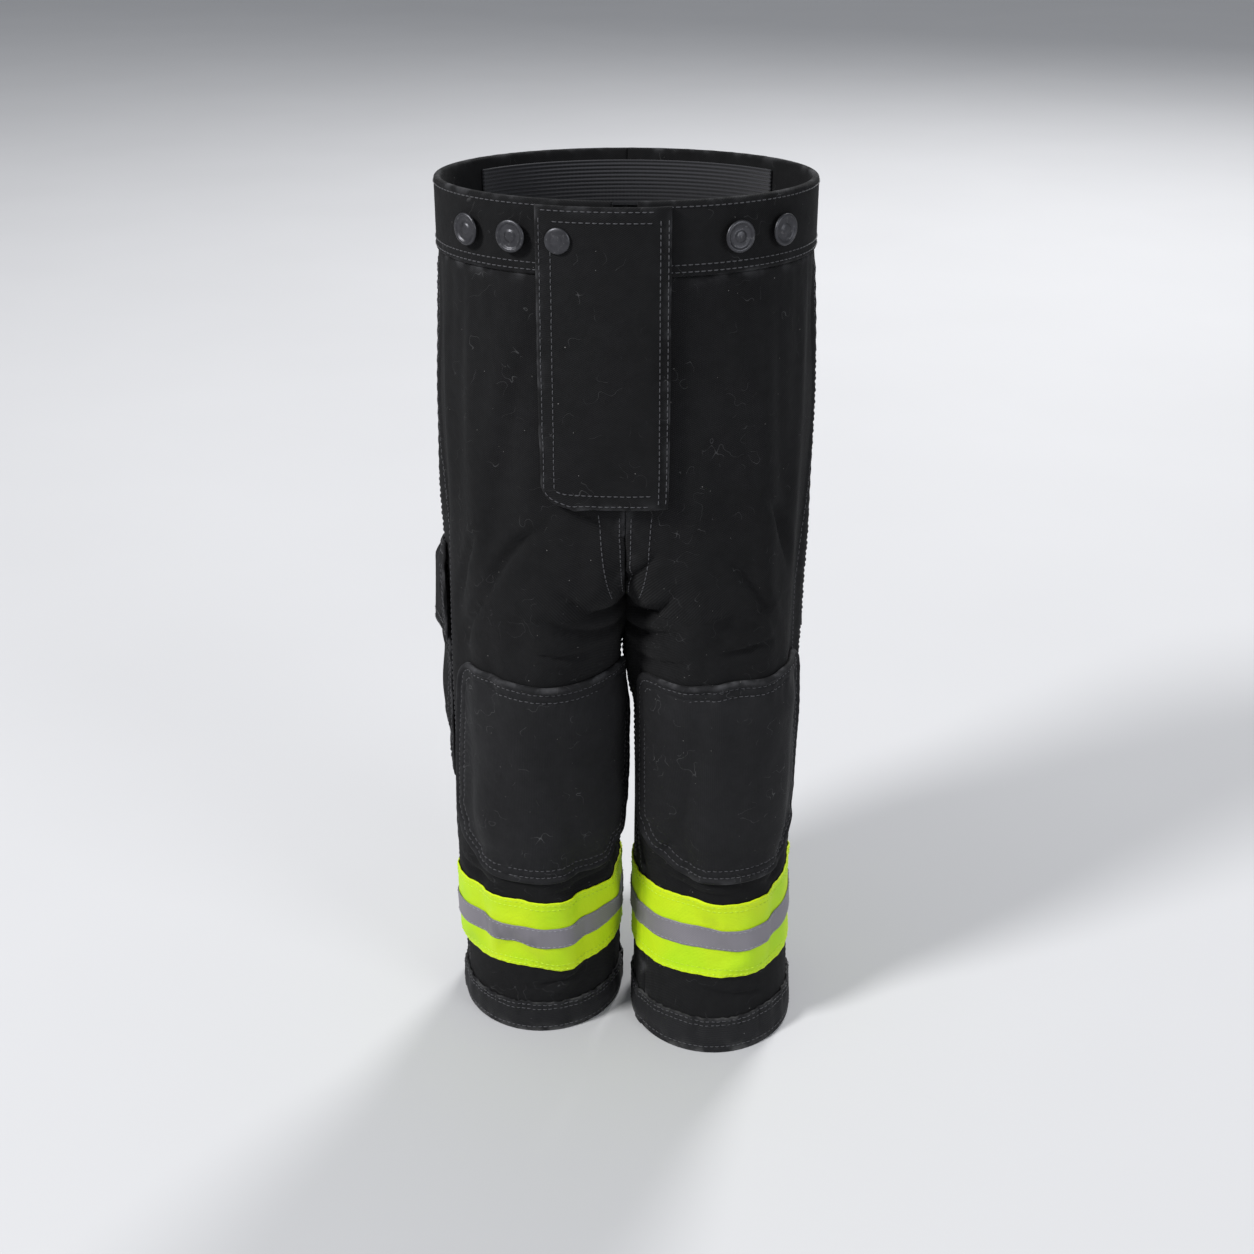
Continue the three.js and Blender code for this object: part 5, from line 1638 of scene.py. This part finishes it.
def sew_pocket(name, side):
    def row(d, z, face):
        d, z = np.broadcast_arrays(d, z)
        return side, pocket_angle(name, side, d, z), z, face(d, z) + ABOVE

    rows = []
    for inset in EDGE_ROWS:
        z = straight(POCKET_BOTTOM + inset, POCKET_TOP - 1 * MM)
        d = straight(inset - POCKET_HALF, POCKET_HALF - inset)
        rows += [row(sign * (POCKET_HALF - inset), z, pocket_face) for sign in (-1, 1)]
        rows += [row(d, height, pocket_face) for height in (POCKET_BOTTOM + inset, POCKET_TOP - 2 * inset)]
    stitches(f"{name}_pocket_stitches", rows, black_thread)

    rows = []
    for inset in FLAP_ROWS:
        z = straight(FLAP_BOTTOM + inset, FLAP_TOP - 9 * MM)
        rows += [row(sign * (FLAP_HALF - inset), z, flap_face) for sign in (-1, 1)]
        rows.append(row(straight(inset - FLAP_HALF, FLAP_HALF - inset), FLAP_BOTTOM + inset, flap_face))
    top = straight(2 * MM - FLAP_HALF, FLAP_HALF - 2 * MM)
    rows += [row(top, FLAP_TOP - below, flap_face) for below in FLAP_TOP_ROWS]
    flap_stitches = stitches(f"{name}_flap_stitches", rows, black_thread, None)
    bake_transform(flap_stitches)


def sew_waistband(name, side):
    rows = []
    for z in (BAND_BOTTOM + 2.5 * MM, BAND_BOTTOM + 6 * MM, HEIGHT - 3 * MM):
        t = band_angle(side, straight(4 * MM, BAND_WIDTH - 2 * MM), z)
        rows.append((side, t, z, BAND_OUT + gathers(side, t, z) + ABOVE))
    stitches(f"{name}_waistband_stitches", rows, black_thread)


def sew_storm_flap():
    def row(x, v):
        x, v = np.broadcast_arrays(x, v)
        z = storm_height(x, v)
        return *front_angle(x, z), z, storm_face(x, v) + ABOVE

    rows = []
    for inset in STORM_ROWS:
        x = straight(FLAP_FREE_X + inset, FLAP_SEWN_X - 6.5 * MM)
        rows.append(row(FLAP_FREE_X + inset, straight(STORM_BOTTOM + inset, STORM_TOP - inset)))
        rows += [row(x, v) for v in (STORM_TOP - inset, STORM_BOTTOM + inset)]
    for inset in STORM_SEWN_ROWS:
        rows.append(row(FLAP_SEWN_X - inset, straight(STORM_BOTTOM + 2 * MM, STORM_TOP - 2 * MM)))
    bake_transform(stitches("storm_flap_stitches", rows, black_thread, None))


for name, side in SIDES.items():
    for sew in (sew_seams, sew_cuff_and_trim, sew_patch, sew_pocket, sew_waistband):
        sew(name, side)
sew_storm_flap()


# ---- Floor, camera and light ----

FLOOR_SIZE = 60.0
LOOK_AT = Vector((0.003, 0.0, 0.245))
CAMERA_AT = Vector((0.010, -0.916, 0.670))
LIGHTS = [  # name, place, size in metres, power in watts, colour
    ("key", (-2.8, -1.8, 3.0), 0.9, 195, (1, 1, 1)),
    ("fill", (2.6, -2.4, 1.4), 1.6, 45, (0.95, 0.97, 1.0)),
    ("rim", (1.2, 2.8, 2.8), 1.0, 110, (1, 1, 1)),
]


def place_aimed(name, data, place):
    """Puts a light or the camera in the scene, turned towards the trousers."""
    obj = link(name, data)
    obj.location = place
    obj.rotation_euler = (LOOK_AT - obj.location).to_track_quat("-Z", "Y").to_euler()
    return obj


bpy.ops.mesh.primitive_plane_add(size=FLOOR_SIZE, location=(0, 0, 0))
floor = bpy.context.object
floor.name = "floor"
floor_paint = Finish("floor_paint", (0.50, 0.50, 0.51), 0.75)
floor_paint.shade(floor_paint.noise(3, 3), 0.97, 1.03)
floor.data.materials.append(floor_paint.done())

for name, place, size, power, color in LIGHTS:
    light = bpy.data.lights.new(name, "AREA")
    light.shape = "DISK"
    light.size = size
    light.energy = power
    light.color = color
    place_aimed(name, light, place)

scene = bpy.context.scene
scene.world = bpy.data.worlds.new("studio")
scene.world.use_nodes = True
background = scene.world.node_tree.nodes["Background"]
background.inputs["Color"].default_value = (0.80, 0.83, 0.88, 1)
background.inputs["Strength"].default_value = 0.5

lens = bpy.data.cameras.new("camera")
lens.lens = 50
lens.sensor_width = 36
scene.camera = place_aimed("camera", lens, CAMERA_AT)
scene.view_settings.view_transform = "Standard"
